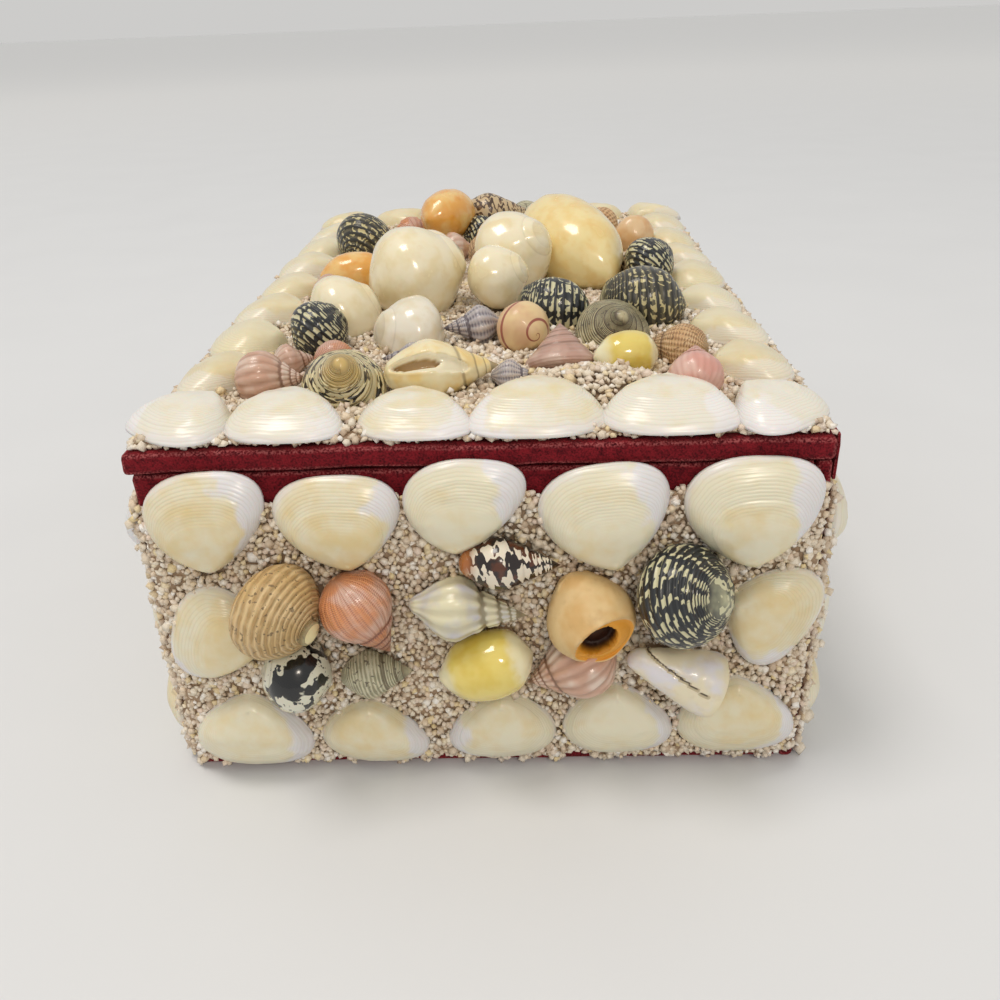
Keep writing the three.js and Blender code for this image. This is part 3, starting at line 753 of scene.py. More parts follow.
class Finish(Enum):
    """The finishes of the sea snails, each with its slot in the record."""

    CREAM = shell(CREAM_SLOT, "cream_glazed_snail", "#f1e7c8", "#e0c898", "#eadbb0", **GLAZED)
    WHITE = shell(CREAM_SLOT, "white_glazed_snail", "#ebe5d4", "#d2bd94", "#e2d6b8", **GLAZED)
    CONCH = shell(
        CREAM_SLOT, "broken_conch", "#e9dfc2", "#cdb88e", "#e0dde2",
        lip="#cbbd9c", throat="#4a3826", end="#e2d6ae", end_shares=(0.1, 1.0), **WAXY
    )
    STROMBUS = shell(
        CREAM_SLOT, "cream_strombus", "#eee2b8", "#dcb05c", "#eccf88",
        lip="#f0e6c6", throat="#a8844c", **GLAZED
    )
    YELLOW = shell(
        YELLOW_SLOT, "yellow_glazed_bubble", "#e4cf6c", "#d8b03c", "#dcc252",
        roughness=0.16, coat=0.8, end="#efe8c0", end_shares=(0.18, 0.8)
    )
    AMBER = shell(
        YELLOW_SLOT, "amber_glazed_cowry", "#efdca0", "#e2b765", "#ebcf8a",
        end="#ecb858", end_shares=(0.16, 1.0), **GLAZED
    )
    TAN = shell(TAN_SLOT, "tan_worn_moon", "#dbbd88", "#b08a54", "#d2ab6e", lip="#e09c2c", **DULL)
    RIDGED = shell(
        TAN_SLOT, "tan_ridged_cap", "#d9bc8a", "#b3925f", "#cfad74", pattern=Pattern.WORN,
        cords=5.0, fine_mm=0.35, pit="#6b5638", end="#e8dcaa", end_shares=(0.05, 1.0), **DULL
    )
    NETTED = shell(
        TAN_SLOT, "tan_netted_snail", "#d9b88c", "#a9825a", "#cda677",
        pattern=Pattern.WORN, cords=6.0, threads=26.0, fine_mm=0.12, pit="#7a5c3a", **DULL
    )
    PEACH = shell(TAN_SLOT, "peach_moon_snail", "#dfc095", "#c08a58", "#d6ad7c", **WAXY)
    TAN_BAND = shell(
        TAN_SLOT, "red_banded_snail", "#e4c896", "#9c5644", "#d6b088", pattern=Pattern.BANDED, marks=1.0
    )
    ORANGE = shell(
        ORANGE_SLOT, "orange_reticulate_whelk", "#d9925f", "#b8745a", "#dcb8a6",
        pattern=Pattern.RIBBED, cords=12.0, threads=56.0, fine_mm=0.07, **WAXY
    )
    COWRY = shell(ORANGE_SLOT, "orange_glazed_cowry", "#e6a84c", "#cf7a2c", "#ecc57c", **GLAZED)
    PINK = shell(PINK_SLOT, "pink_ribbed_turban", "#caa18a", "#ab8068", "#dcc8b8", **RIBBED)
    ROSE = shell(PINK_SLOT, "rose_ribbed_whelk", "#d8a092", "#b97f70", "#e0bcae", **RIBBED)
    DUSKY = shell(
        PINK_SLOT, "dusky_pink_cone", "#ba9484", "#8c6c60", "#ccb0a0", cords=3.0, fine_mm=0.06, **WAXY
    )
    GREY = shell(GREY_SLOT, "grey_knobbed_whelk", "#dfd9b8", "#bdb596", "#c4c2c4", **RIBBED)
    BLUE = shell(
        GREY_SLOT, "blue_grey_whelk", "#b0aaac", "#6d6a78", "#c4b8b0", cords=5.0, fine_mm=0.05, **RIBBED
    )
    SPECKLED = shell(
        GREY_SLOT, "speckled_top", "#cdc8aa", "#8f8a6e", "#b8b296",
        pattern=Pattern.WORN, cords=5.0, fine_mm=0.12, roughness=0.45, coat=0.2
    )
    LINED = shell(
        GREY_SLOT, "olive_lined_top", "#b9b08c", "#57503c", "#a0966f",
        pattern=Pattern.WORN, cords=7.0, fine_mm=0.12, roughness=0.45, coat=0.2
    )
    STRIPED = shell(STRIPED_SLOT, "striped_nerite", "#cfcaa4", "#14181c", "#2c3032", marks=11.0, **CORDED)
    OLIVE = shell(
        STRIPED_SLOT, "olive_striped_snail", "#cbbf8e", "#2a281f", "#5c5640",
        marks=13.0, pale=-0.3, **CORDED
    )
    BLOTCHED = shell(
        STRIPED_SLOT, "blotched_nerite", "#d8d6c2", "#0e1011", "#121516",
        pattern=Pattern.BLOTCHED, roughness=0.2, coat=0.4
    )
    TENT = shell(
        BROWN_SLOT, "tent_marked_dove", "#e4dac6", "#1c0e08", "#55290f",
        pattern=Pattern.TENTED, marks=5.0, end="#a8642a", end_shares=(0.0, 0.86), roughness=0.2, coat=0.4
    )
    TURBAN = shell(
        BROWN_SLOT, "blotched_cream_turban", "#dcd0a4", "#2b281f", "#5f5236",
        pattern=Pattern.TENTED, marks=9.0, pale=0.55, cords=4.0, fine_mm=0.2, end="#cdb06c",
        end_shares=(0.3, 1.0), **WAXY
    )
    BROWN = shell(
        BROWN_SLOT, "brown_mottled_snail", "#c8b28c", "#4a3524", "#7a5f44",
        pattern=Pattern.TENTED, marks=9.0, pale=0.35, **WAXY
    )


# ----------------------------------------------------------------------------- shells


@dataclass(frozen=True)
class Clam:
    """Half a clam lying on its margin: beak at -Y, margin at +Y, back at +Z.

    Attributes:
        length: From end to end, in millimetres.
        height: From the beak to the far margin.
        heading: Where the margin points on its face, in degrees.
        lean: How far the beak stands to one side.
        drawn: Which end is drawn out and pale, 1 or -1 along its X.
        ribs: How many growth ridges are raised in the mesh.
        around: Points along the margin.
        dome: Its depth as a share of its length.
        crown: How high the umbo stands, as a share of that depth.
    """

    length: float
    height: float
    heading: float
    lean: float = 0.0
    drawn: int = 1
    ribs: int = 0
    around: int = 36
    dome: float = 0.24
    crown: float = 0.62

    UMBO = 0.11  # the umbo's distance from the beak, as a share of the height
    RIB_MM = 0.034  # how high a growth ridge stands, in millimetres

    def spread(self, share: np.ndarray, end: np.ndarray) -> np.ndarray:
        """Half the clam's width, from 0 to 1.

        Args:
            share: The way from the beak to the margin, from 0 to 1.
            end: 1 towards the drawn-out end and -1 towards the round one.

        Returns:
            The width, fuller low down at the round end.
        """
        rise, fall = 0.72 + 0.07 * end, 0.40 - 0.05 * end
        widest = rise / (rise + fall)
        return share**rise * (1 - share) ** fall / (widest**rise * (1 - widest) ** fall)

    def rings(self) -> np.ndarray:
        """Where the growth rings lie between the umbo and the margin.

        Returns:
            Their places, as shares of that way.
        """
        if not self.ribs:
            return np.concatenate([np.linspace(0.08, 0.5, 5, endpoint=False), np.linspace(0.5, 1, 12)])
        near_umbo = np.linspace(0.05, 0.5, 8, endpoint=False)
        return np.concatenate([near_umbo, np.linspace(0.5, 1, 4 * self.ribs + 4)])

    def surface(self, seed: int) -> Surface:
        """The valve, on its margin at Z 0.

        Args:
            seed: Chooses its blotches, its pauses in growth and its unevenness.

        Returns:
            The surface, with its growth, lines, side, inner and tone.
        """
        rng = np.random.default_rng(seed)
        angle = np.linspace(0, 2 * math.pi, self.around, endpoint=False)
        share = (1 - np.cos(angle)) / 2
        side = np.sign(np.sin(angle))
        half = self.spread(share, side * self.drawn) * self.length / 2
        margin_x = side * half + self.lean * (0.5 - share)
        margin_y = (share - 0.5) * self.height
        umbo = np.array([self.lean / 2, (self.UMBO - 0.5) * self.height])
        rings = self.rings()[:, None]
        across = umbo[0] + rings * (margin_x - umbo[0])
        along = umbo[1] + rings * (margin_y - umbo[1])
        away = (along + self.height / 2) / self.height
        swell = self.crown + (1 - self.crown) * smooth_step(0.0, 0.5, away)
        rise = self.dome * self.length * (1 - rings**2.3) ** 0.6 * swell
        pause = rng.uniform(0.6, 0.86)
        wobble = waves(np.stack([np.cos(angle), np.sin(angle)], 1) * 3, 5.0, seed)
        phase = rings * 2 * (self.ribs or 12) + 0.3 * wobble[None, :] + 0.4 * np.sin(9 * rings)
        strength = 0.55 + 0.45 * np.sin(17 * rings + 2.5 * wobble[None, :] + seed)
        ridge = np.cos(2 * math.pi * phase) * strength
        ridge *= smooth_step(0.35, 0.7, rings) * smooth_step(1.0, 0.95, rings)
        if self.ribs:
            step_down = smooth_step(pause, pause + 0.03, rings) * (rings < 0.99)
            rise = rise + self.RIB_MM * ridge - 0.14 * step_down
        grid = np.stack([across, along, np.maximum(rise, 0.0)], 2).reshape(-1, 3)
        top = [umbo[0], umbo[1], self.dome * self.length * (self.crown + 0.02)]
        points = np.concatenate([grid, [top]])
        points[:, 2] += 0.1 * waves(points[:, :2], 9.0, seed) * smooth_step(0, 2, points[:, 2])
        tone = rng.uniform(-0.1, 0.25)
        values = {
            "growth": np.append(np.repeat(rings, self.around), 0.0),
            "lines": np.append((phase * 2 * math.pi).ravel(), 0.0),
            "side": self.drawn * points[:, 0] / self.length * rng.uniform(0.8, 1.3),
            "inner": np.append(np.repeat(smooth_step(pause + 0.05, pause - 0.05, rings), self.around), 1.0),
            "tone": np.full(len(points), tone),
        }
        return Surface(points, self.faces(len(rings)), None, values)

    def faces(self, rings: int) -> list[np.ndarray]:
        """The quads between growth rings, the fan at the umbo and the flat underside.

        Args:
            rings: How many growth rings there are.

        Returns:
            Quads, triangles and one large face.
        """
        side = np.arange(self.around)
        after = (side + 1) % self.around
        start = np.arange(rings - 1)[:, None] * self.around
        outer = start + self.around
        quads = np.stack([start + side, start + after, outer + after, outer + side], 2)
        fan = np.stack([side, after, np.full_like(side, rings * self.around)], 1)
        base = ((rings - 1) * self.around + side)[None, ::-1]
        return [quads.reshape(-1, 4)[:, ::-1], fan, base]


@dataclass(frozen=True)
class SnailForm:
    """The outline and sculpture of a kind of sea snail.

    Attributes:
        outline: Pairs of a share of the length from the apex and half the width there.
        turns: Whorls above the mouth.
        growth: How much each turn outgrows the last.
        suture: Where the last suture meets the mouth.
        groove: How deep the sutures are cut, as a share of the radius.
        apex: The share of the length over which the apex is rounded.
        foot: The share over which the foot is rounded.
        ribs: Ridges round one turn.
        rib_height: Their height as a share of the radius.
        knobs: The height of the beads on the shoulder.
    """

    outline: tuple[tuple[float, float], ...]
    turns: int
    growth: float
    suture: float
    groove: float = 0.05
    apex: float = 0.0
    foot: float = 0.1
    ribs: int = 0
    rib_height: float = 0.0
    knobs: float = 0.0

    def reach(self, share: np.ndarray) -> np.ndarray:
        """Half the width along the shell: a smooth curve with rounded ends.

        Args:
            share: Places along the length, from 0 at the apex to 1 at the foot.

        Returns:
            Half the width at each of them.
        """
        places = np.array([place for place, _ in self.outline])
        widths = np.array([width for _, width in self.outline])
        slopes = np.gradient(widths, places)
        cell = np.clip(np.searchsorted(places, share, side="right") - 1, 0, len(places) - 2)
        step = places[cell + 1] - places[cell]
        part = (share - places[cell]) / step
        square, cube = part**2, part**3
        wide = (2 * cube - 3 * square + 1) * widths[cell] + (3 * square - 2 * cube) * widths[cell + 1]
        wide += step * ((cube - 2 * square + part) * slopes[cell] + (cube - square) * slopes[cell + 1])
        for away, reach in ((share, self.apex), (1 - share, self.foot)):
            if reach:
                wide = wide * np.sqrt(1 - np.clip(1 - away / reach, 0, 1) ** 2)
        return wide


MOON = SnailForm(
    ((0, 0.12), (0.12, 0.24), (0.28, 0.39), (0.5, 0.5), (0.72, 0.47), (1, 0.32)),
    2, 2.4, 0.26, 0.035, 0.04, 0.36
)
NERITE = SnailForm(
    ((0, 0.14), (0.1, 0.27), (0.25, 0.41), (0.48, 0.5), (0.75, 0.45), (1, 0.3)), 2, 2.6, 0.2, 0.05, 0.05, 0.36
)
WHELK = SnailForm(
    ((0, 0.02), (0.2, 0.16), (0.42, 0.34), (0.58, 0.5), (0.77, 0.4), (0.92, 0.18), (1, 0.1)),
    4, 1.62, 0.46, 0.11, 0.0, 0.05, ribs=15, rib_height=0.05,
)
BASKET = SnailForm(
    ((0, 0.02), (0.16, 0.15), (0.34, 0.33), (0.55, 0.49), (0.68, 0.5), (0.86, 0.4), (1, 0.24)),
    4, 1.62, 0.42, 0.1, 0.0, 0.16, ribs=22, rib_height=0.022,
)
DOVE = SnailForm(
    ((0, 0.02), (0.2, 0.2), (0.42, 0.4), (0.6, 0.5), (0.8, 0.38), (1, 0.16)), 4, 1.62, 0.46, 0.04, 0.0, 0.05
)
TOP = SnailForm(
    ((0, 0.02), (0.3, 0.22), (0.6, 0.4), (0.8, 0.5), (0.93, 0.43), (1, 0.3)), 4, 1.6, 0.6, 0.07, 0.0, 0.12
)
CONE = SnailForm(
    ((0, 0.46), (0.08, 0.49), (0.2, 0.48), (0.5, 0.36), (0.85, 0.2), (1, 0.12)), 1, 2.2, 0.1, 0.0, 0.04, 0.08
)
BUBBLE = SnailForm(
    ((0, 0.22), (0.2, 0.42), (0.45, 0.5), (0.7, 0.45), (1, 0.26)), 1, 2.2, 0.12, 0.0, 0.22, 0.3
)
CAP = SnailForm(
    ((0, 0.08), (0.05, 0.13), (0.1, 0.14), (0.16, 0.26), (0.3, 0.41), (0.5, 0.5), (0.75, 0.46), (1, 0.3)),
    2, 2.4, 0.12, 0.03, 0.05, 0.3, ribs=16, rib_height=0.012,
)


@dataclass(frozen=True)
class Mouth:
    """A snail's mouth, pressed into the side that faces out.

    Attributes:
        across: Its middle along the shell's own X, in millimetres.
        along: Its middle along the shell's length.
        width: Its size along its own slant.
        height: Its size across the slant.
        depth: How far it goes in.
        turn: Its slant, in degrees.
        sill: How far the part inside the lip is pressed in.
        throat: The throat's size as a share of the mouth's.
        shift: How far the throat lies from the mouth's middle, as shares of its half sizes.
    """

    across: float
    along: float
    width: float
    height: float
    depth: float
    turn: float = 0.0
    sill: float = 0.8
    throat: float = 0.6
    shift: tuple[float, float] = (0.0, 0.0)


@dataclass(frozen=True)
class Snail:
    """A sea snail about +Y, its apex at +Y.

    Attributes:
        form: Its kind.
        finish: Its finish.
        length: From apex to foot, in millimetres.
        width: Across its widest whorl.
        heading: Where the apex points on its face, in degrees.
        tilt: How far the apex is lifted.
        roll: How far it is turned about its length.
        start: Where its spiral starts about its length, in degrees from its +X.
        steps: Points round one turn.
        fine: The growth from one row of the mesh to the next.
        mouth: Its mouth, where it shows.
    """

    form: SnailForm
    finish: Finish
    length: float
    width: float
    heading: float
    tilt: float = 0.0
    roll: float = 0.0
    start: float = -90.0
    steps: int = 44
    fine: float = 1.1
    mouth: Mouth | None = None

    BEND_AT = 0.6  # the share of the length past which the growth is eased into the foot
    LAST_RAW = 2.4  # the share, before it is eased, at which the spiral ends
    FULL_RELIEF = 0.06  # the relief that the finish reads as 1

    def surface(self, seed: int) -> Surface:
        """The shell round its own axis.

        Args:
            seed: Chooses its unevenness.

        Returns:
            The surface, with its growth map, relief and mouth.
        """
        form = self.form
        rows = max(5, round(math.log(form.growth) / math.log(self.fine)))
        whorls = form.turns + math.log(self.LAST_RAW / form.suture) / math.log(form.growth)
        last = int(whorls * rows)
        columns = [np.arange(last + rows + 1)] + [np.arange(last + 1)] * (self.steps - 1)
        row = np.concatenate(columns)
        step = np.concatenate([np.full(len(column), place) for place, column in enumerate(columns)])
        first = np.cumsum([0] + [len(column) for column in columns[:-1]])
        across = row / rows
        turn = across + step / self.steps
        raw = form.suture * form.growth ** (turn - form.turns)
        bend = 1 - self.BEND_AT
        eased = self.BEND_AT + bend * (1 - np.exp(-(raw - self.BEND_AT) / bend))
        share = np.where(raw < self.BEND_AT, raw, eased)
        relief = self.sculpture(across, step / self.steps, row / last)
        radius = self.width * form.reach(share) * (1 + relief)
        angle = 2 * math.pi * step / self.steps + math.radians(self.start)
        points = np.stack([radius * np.cos(angle), self.length * (0.5 - share), radius * np.sin(angle)], 1)
        ends = [[0, self.length / 2, 0], [0, -self.length / 2, 0]]
        points = np.concatenate([points, ends])
        points[:, :3] *= (1 + 0.012 * waves(points, self.width * 0.7, seed))[:, None]
        values = {"relief": np.append(np.clip(relief / self.FULL_RELIEF, -1.5, 1.5), [0.0, 0.0])}
        values["share"] = np.append(share, [0.0, 1.0])
        points, values["mouth"] = self.opened(points)
        faces, corners = self.skin(first, last, rows, len(row))
        return Surface(points, faces, corners, values)

    def sculpture(self, across: np.ndarray, around: np.ndarray, grown: np.ndarray) -> np.ndarray:
        """Sutures, ribs and knobs as shares of the radius.

        Args:
            across: The row's place, a whole number at each suture.
            around: The place round the shell, from 0 to 1.
            grown: The row's place between the apex and the foot.

        Returns:
            The relief of each vertex.
        """
        form = self.form
        relief = np.zeros(len(across))
        for suture in range(form.turns):
            away = across - suture
            relief -= form.groove * np.exp(-np.abs(away) / np.where(away > 0, 0.12, 0.09))
        inside = np.where(across < form.turns - 1, across % 1, across - (form.turns - 1))
        body = smooth_step(0.02, 0.25, inside) * smooth_step(1.0, 0.75, grown)
        crest = np.cos(2 * math.pi * (form.ribs * around + 0.25 * inside))
        if form.ribs:
            relief += form.rib_height * body * (np.maximum(crest, -0.6) + 0.1)
        if form.knobs:
            relief += form.knobs * np.maximum(crest, 0) ** 2 * np.exp(-(((inside - 0.3) / 0.14) ** 2))
        return relief

    def opened(self, points: np.ndarray) -> tuple[np.ndarray, np.ndarray]:
        """Presses the mouth into the side that will face out of the box.

        Args:
            points: The shell's vertices.

        Returns:
            The vertices, and how far into the mouth each one lies.
        """
        inside = np.zeros(len(points))
        if self.mouth is None:
            return points, inside
        mouth = self.mouth
        slant = math.radians(mouth.turn)
        x, y = points[:, 0] - mouth.across, points[:, 1] - mouth.along
        u = (x * math.cos(slant) + y * math.sin(slant)) / (mouth.width / 2)
        v = (-x * math.sin(slant) + y * math.cos(slant)) / (mouth.height / 2)
        facing = points[:, 2] > -0.1 * self.width
        rim = np.hypot(u, v)
        deep = np.hypot(u - mouth.shift[0], v - mouth.shift[1]) / mouth.throat
        inside = np.where(facing, smooth_step(1.0, 0.86, rim), 0.0)
        throat = np.where(facing, smooth_step(1.0, 0.8, deep), 0.0) * inside
        lip = np.where(facing, np.exp(-(((rim - 1.05) / 0.1) ** 2)), 0.0)
        points = points.copy()
        points[:, 2] += 0.35 * mouth.sill * lip - mouth.sill * inside - mouth.depth * throat
        return points, 0.45 * inside + 0.55 * throat

    def skin(
        self, first: np.ndarray, last: int, rows: int, ends: int
    ) -> tuple[list[np.ndarray], list[np.ndarray]]:
        """Quads round the spiral and fans at both ends, with their growth map.

        Args:
            first: The first vertex of each column.
            last: The last row that every column has.
            rows: Rows in one whorl.
            ends: The index of the apex; the foot's is the next.

        Returns:
            The faces and their corners on the growth map.
        """
        step = np.arange(self.steps)[:, None]
        row = np.arange(last)[None, :]
        right = np.where(step + 1 < self.steps, first[(step + 1) % self.steps] + row, first[0] + row + rows)
        left = first[step] + row
        quads = np.stack([left, right, right + 1, left + 1], 2).reshape(-1, 4)
        whorl = np.minimum(row // rows, self.form.turns - 1)
        here = row / rows - whorl
        grown = whorl + step / self.steps
        after = whorl + (step + 1) / self.steps
        spans = [(grown, here), (after, here), (after, here + 1 / rows), (grown, here + 1 / rows)]
        corners = np.stack([np.stack(np.broadcast_arrays(*pair), 2) for pair in spans], 2).reshape(-1, 4, 2)
        faces, maps = [quads[:, ::-1]], [corners[:, ::-1]]
        for tip, edge, opening in ((ends, 0, True), (ends + 1, last, False)):
            round_end = [first[column] + edge for column in range(self.steps)]
            seam = [first[0] + edge + back for back in range(rows, -1, -1)]
            ring = np.array(round_end + seam)
            fan = np.stack([np.full(len(ring) - 1, tip), ring[1:], ring[:-1]], 1)
            faces.append(fan[:, ::-1] if opening else fan)
            maps.append(np.zeros((len(fan), 3, 2)))
        return faces, maps


# ------------------------------------------------------------------------ the box's faces


@dataclass
class Face:
    """One face of the box, with axes along it, up it and out of it.

    Attributes:
        name: What it is called.
        origin: The point from which places on it are measured, in millimetres.
        axes: Its three axes, one per row.
        body: The CAD body it belongs to.
        node: The CAD node of its sand.
        low: The lowest corner of its sand.
        high: The highest corner of its sand.
        shells: The shells that lie on it, in its own axes.
    """

    name: str
    origin: np.ndarray
    axes: np.ndarray
    body: str
    node: str
    low: tuple[float, float]
    high: tuple[float, float]
    shells: list[Surface]

    def span(self, node: str) -> tuple[np.ndarray, np.ndarray]:
        """A CAD node's box in the face's own axes, in millimetres."""
        ends = (np.array(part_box(node)) / MM - self.origin) @ self.axes.T
        return ends.min(axis=0), ends.max(axis=0)

    def placed(self, surface: Surface) -> Surface:
        """A surface in the face's axes, taken to the frame of the box."""
        return replace(surface, points=surface.points @ self.axes + self.origin)

    def onto(self, node: str, surface: Surface) -> Surface:
        """Moves a shell to the middle and the top of the CAD node that it stands for.

        Args:
            node: The CAD node.
            surface: The shell, already turned.

        Returns:
            The shell in the face's axes.
        """
        low, high = self.span(node)
        least, most = surface.points.min(axis=0), surface.points.max(axis=0)
        middle = (low + high - least - most)[:2] / 2
        return surface.moved(np.array([middle[0], middle[1], high[2] - most[2]]))

    def put(self, name: str, shells: list[Surface], finish: bpy.types.Material, slot: str, node: str) -> None:
        """Makes a piece of one or more shells and remembers where they lie.

        Args:
            name: The piece's name.
            shells: The shells, in the face's axes.
            finish: Its material.
            slot: The record's slot, which is not used.
            node: The CAD node that it stands for.
        """
        self.shells.extend(shells)
        whole = joined(shells) if len(shells) > 1 else shells[0]
        make_piece(name, self.placed(whole), finish, self.body, node)


@dataclass(frozen=True)
class SandBed:
    """Coral grit glued over a face, thick between the shells and thin towards its edges.

    Attributes:
        face: The face it covers.
        depth: The sand's depth, in millimetres.
        pitch: The distance between grains, a little less than a grain's size.
        bare: How much of the paper is left bare at the top and at the bottom of the face.
        heaps: Places, half sizes and heights of heaps of sand.
    """

    face: Face
    depth: float
    pitch: float
    bare: tuple[float, float] = (0.8, 2.0)
    heaps: tuple[tuple[float, float, float, float, float], ...] = ()

    CELL = 0.5  # the side of a cell of the grid that marks the shells, in millimetres
    GRAIN = 1.26  # a grain's size, as a share of the pitch
    BRIM = 4  # how far that grid reaches past the face
    SHELL_FOOT = 1.6  # how high over the sand a shell still keeps grains away
    BED_FOOT = 0.25  # where the bed's underside lies
    BED_TOP = 0.66  # where its top lies, as a share of the depth
    ROW_PITCH = 0.87  # the distance between rows of grains, as a share of the pitch
    GRAIN_LEVEL = 0.78  # where the grains' middles lie, as a share of the depth
    HEAPED = 0.3  # the share of grains beside a shell that carry another
    HANG_LEVEL = 0.42  # where the grains on the bed's sides hang

    def make(self, sand: bpy.types.Material, glue: bpy.types.Material, seed: int) -> None:
        """Makes the bed and its grains.

        Args:
            sand: The grains' material.
            glue: The bed's material, brown as painted shadow between the grains.
            seed: Chooses the grains.
        """
        face = self.face
        for part, surface, finish in (("bed", self.bed(seed), glue), ("grains", self.grains(seed), sand)):
            make_piece(f"{face.node}_{part}", face.placed(surface), finish, face.body, face.node)

    def edges(self, across: np.ndarray, seed: int) -> tuple[np.ndarray, np.ndarray]:
        """Where the sand stops at the bottom and at the top of the face.

        Args:
            across: Places along the face.
            seed: Chooses how the edges wander.

        Returns:
            The lower and the upper edge at each place.
        """
        top, bottom = self.bare
        span = self.face.high[0]
        left = 0.5 - 0.5 * across / span
        low = self.face.low[1] + bottom * (0.6 + 0.5 * waves(across[:, None], 21.0, seed + 4))
        high = self.face.high[1] - top * (0.25 + left + 0.5 * waves(across[:, None], 17.0, seed + 5))
        return low, np.minimum(high, self.face.high[1])

    def rise(self, places: np.ndarray, seed: int) -> np.ndarray:
        """How high the sand lies above its usual depth, with its heaps.

        Args:
            places: Places on the face, one per row.
            seed: Chooses how the sand rolls.

        Returns:
            The rise at each place, in millimetres.
        """
        lift = 0.3 * waves(places, 9.0, seed + 2)
        for u, v, half_u, half_v, height in self.heaps:
            away = ((places[:, 0] - u) / half_u) ** 2 + ((places[:, 1] - v) / half_v) ** 2
            lift += height * np.clip(1 - away, 0, 1) ** 0.7
        return lift

    def bed(self, seed: int) -> Surface:
        """The glued ground under the grains, a thin uneven slab.

        Args:
            seed: Chooses how its edges and its top wander.

        Returns:
            The slab in the face's axes.
        """
        (u0, v0), (u1, v1) = self.face.low, self.face.high
        slab = rounded_box((u0, v0, self.BED_FOOT), (u1, v1, self.depth * self.BED_TOP), 3.0, 0.5)
        points = slab.points
        low, high = self.edges(points[:, 0], seed)
        share = (points[:, 1] - v0) / (v1 - v0)
        points[:, 1] = low + 0.3 + share * (high - low - 0.6)
        points[:, 2] += 0.8 * self.rise(points[:, :2], seed) * (points[:, 2] > self.depth * 0.5)
        return slab

    def cover(self) -> tuple[np.ndarray, np.ndarray]:
        """Where shells stand on the face.

        Returns:
            The corner of a grid of cells, and the cells that shells cover.
        """
        low = np.array(self.face.low) - self.BRIM
        count = np.ceil((np.array(self.face.high) + self.BRIM - low) / self.CELL).astype(int) + 1
        covered = np.zeros(count, bool)
        for shell_surface in self.face.shells:
            near = shell_surface.points[shell_surface.points[:, 2] < self.depth + self.SHELL_FOOT]
            cells = np.clip(((near[:, :2] - low) / self.CELL).astype(int), 0, count - 1)
            mark = np.zeros(count, bool)
            mark[cells[:, 0], cells[:, 1]] = True
            covered |= filled(mark)
        return low, covered

    def grains(self, seed: int) -> Surface:
        """Every grain of the face as one mesh.

        Args:
            seed: Chooses their places, sizes and turns.

        Returns:
            The grains in the face's axes.
        """
        rng = np.random.default_rng(seed)
        (u0, v0), (u1, v1) = self.face.low, self.face.high
        along = np.arange(v0, v1, self.pitch * self.ROW_PITCH)
        u, v = np.meshgrid(np.arange(u0, u1, self.pitch), along, indexing="ij")
        u = u + 0.5 * self.pitch * (np.arange(len(along)) % 2)
        places = np.stack([u.ravel(), v.ravel()], 1)
        places += rng.normal(0, 0.2 * self.pitch, places.shape)
        corner, covered = self.cover()
        inner = eroded(covered, 2)
        near = eroded(~covered, 3) ^ ~covered
        low, high = self.edges(places[:, 0], seed)
        edge = np.min([places[:, 0] - u0, u1 - places[:, 0], places[:, 1] - low, high - places[:, 1]], axis=0)
        cell = np.clip(((places - corner) / self.CELL).astype(int), 0, np.array(covered.shape) - 1)
        keep = ~inner[cell[:, 0], cell[:, 1]] & (edge > 0)
        places, cell, edge = places[keep], cell[keep], edge[keep]
        beside = near[cell[:, 0], cell[:, 1]]
        lift = 0.3 * beside + self.rise(places, seed) - 0.5 * np.clip(1 - edge / 2, 0, 1)
        level = self.depth * self.GRAIN_LEVEL
        base = np.column_stack([places, level + lift + rng.normal(0, 0.12, len(places))])
        heap = base[beside]
        heap = heap[rng.uniform(size=len(heap)) < self.HEAPED]
        heap = heap + rng.normal(0, 0.3, heap.shape) + [0, 0, 0.6]
        return pebbles(np.concatenate([base, heap, self.border(rng, seed)]), self.GRAIN * self.pitch, rng)

    def border(self, rng: np.random.Generator, seed: int) -> np.ndarray:
        """Grains that hang on the sides of the bed.

        Args:
            rng: Chooses their places.
            seed: Chooses how the edges wander.

        Returns:
            Their places.
        """
        (u0, v0), (u1, v1) = self.face.low, self.face.high
        across = np.arange(u0, u1, self.pitch * 0.9)
        low, high = self.edges(across, seed)
        along = np.arange(v0 + self.bare[1], v1 - self.bare[0], self.pitch * 0.9)
        lines = [
            np.column_stack([across, low]),
            np.column_stack([across, high]),
            np.column_stack([np.full(len(along), u0), along]),
            np.column_stack([np.full(len(along), u1), along]),
        ]
        around = np.concatenate(lines)
        around = np.column_stack([around, np.full(len(around), self.HANG_LEVEL * self.depth)])
        return around + rng.normal(0, 0.22, around.shape)


def filled(mark: np.ndarray) -> np.ndarray:
    """Fills the inside of a shell's dotted footprint, line by line.

    Args:
        mark: Cells that hold a vertex of the shell.

    Returns:
        The footprint.
    """
    along = np.maximum.accumulate(mark, 1) & np.maximum.accumulate(mark[:, ::-1], 1)[:, ::-1]
    across = np.maximum.accumulate(mark, 0) & np.maximum.accumulate(mark[::-1], 0)[::-1]
    return along & across


def eroded(mask: np.ndarray, times: int) -> np.ndarray:
    """A mask with cells taken off its edge.

    Args:
        mask: The cells to start from.
        times: How many cells come off.

    Returns:
        The smaller mask.
    """
    for _ in range(times):
        inner = mask.copy()
        inner[1:] &= mask[:-1]
        inner[:-1] &= mask[1:]
        inner[:, 1:] &= mask[:, :-1]
        inner[:, :-1] &= mask[:, 1:]
        mask = inner
    return mask


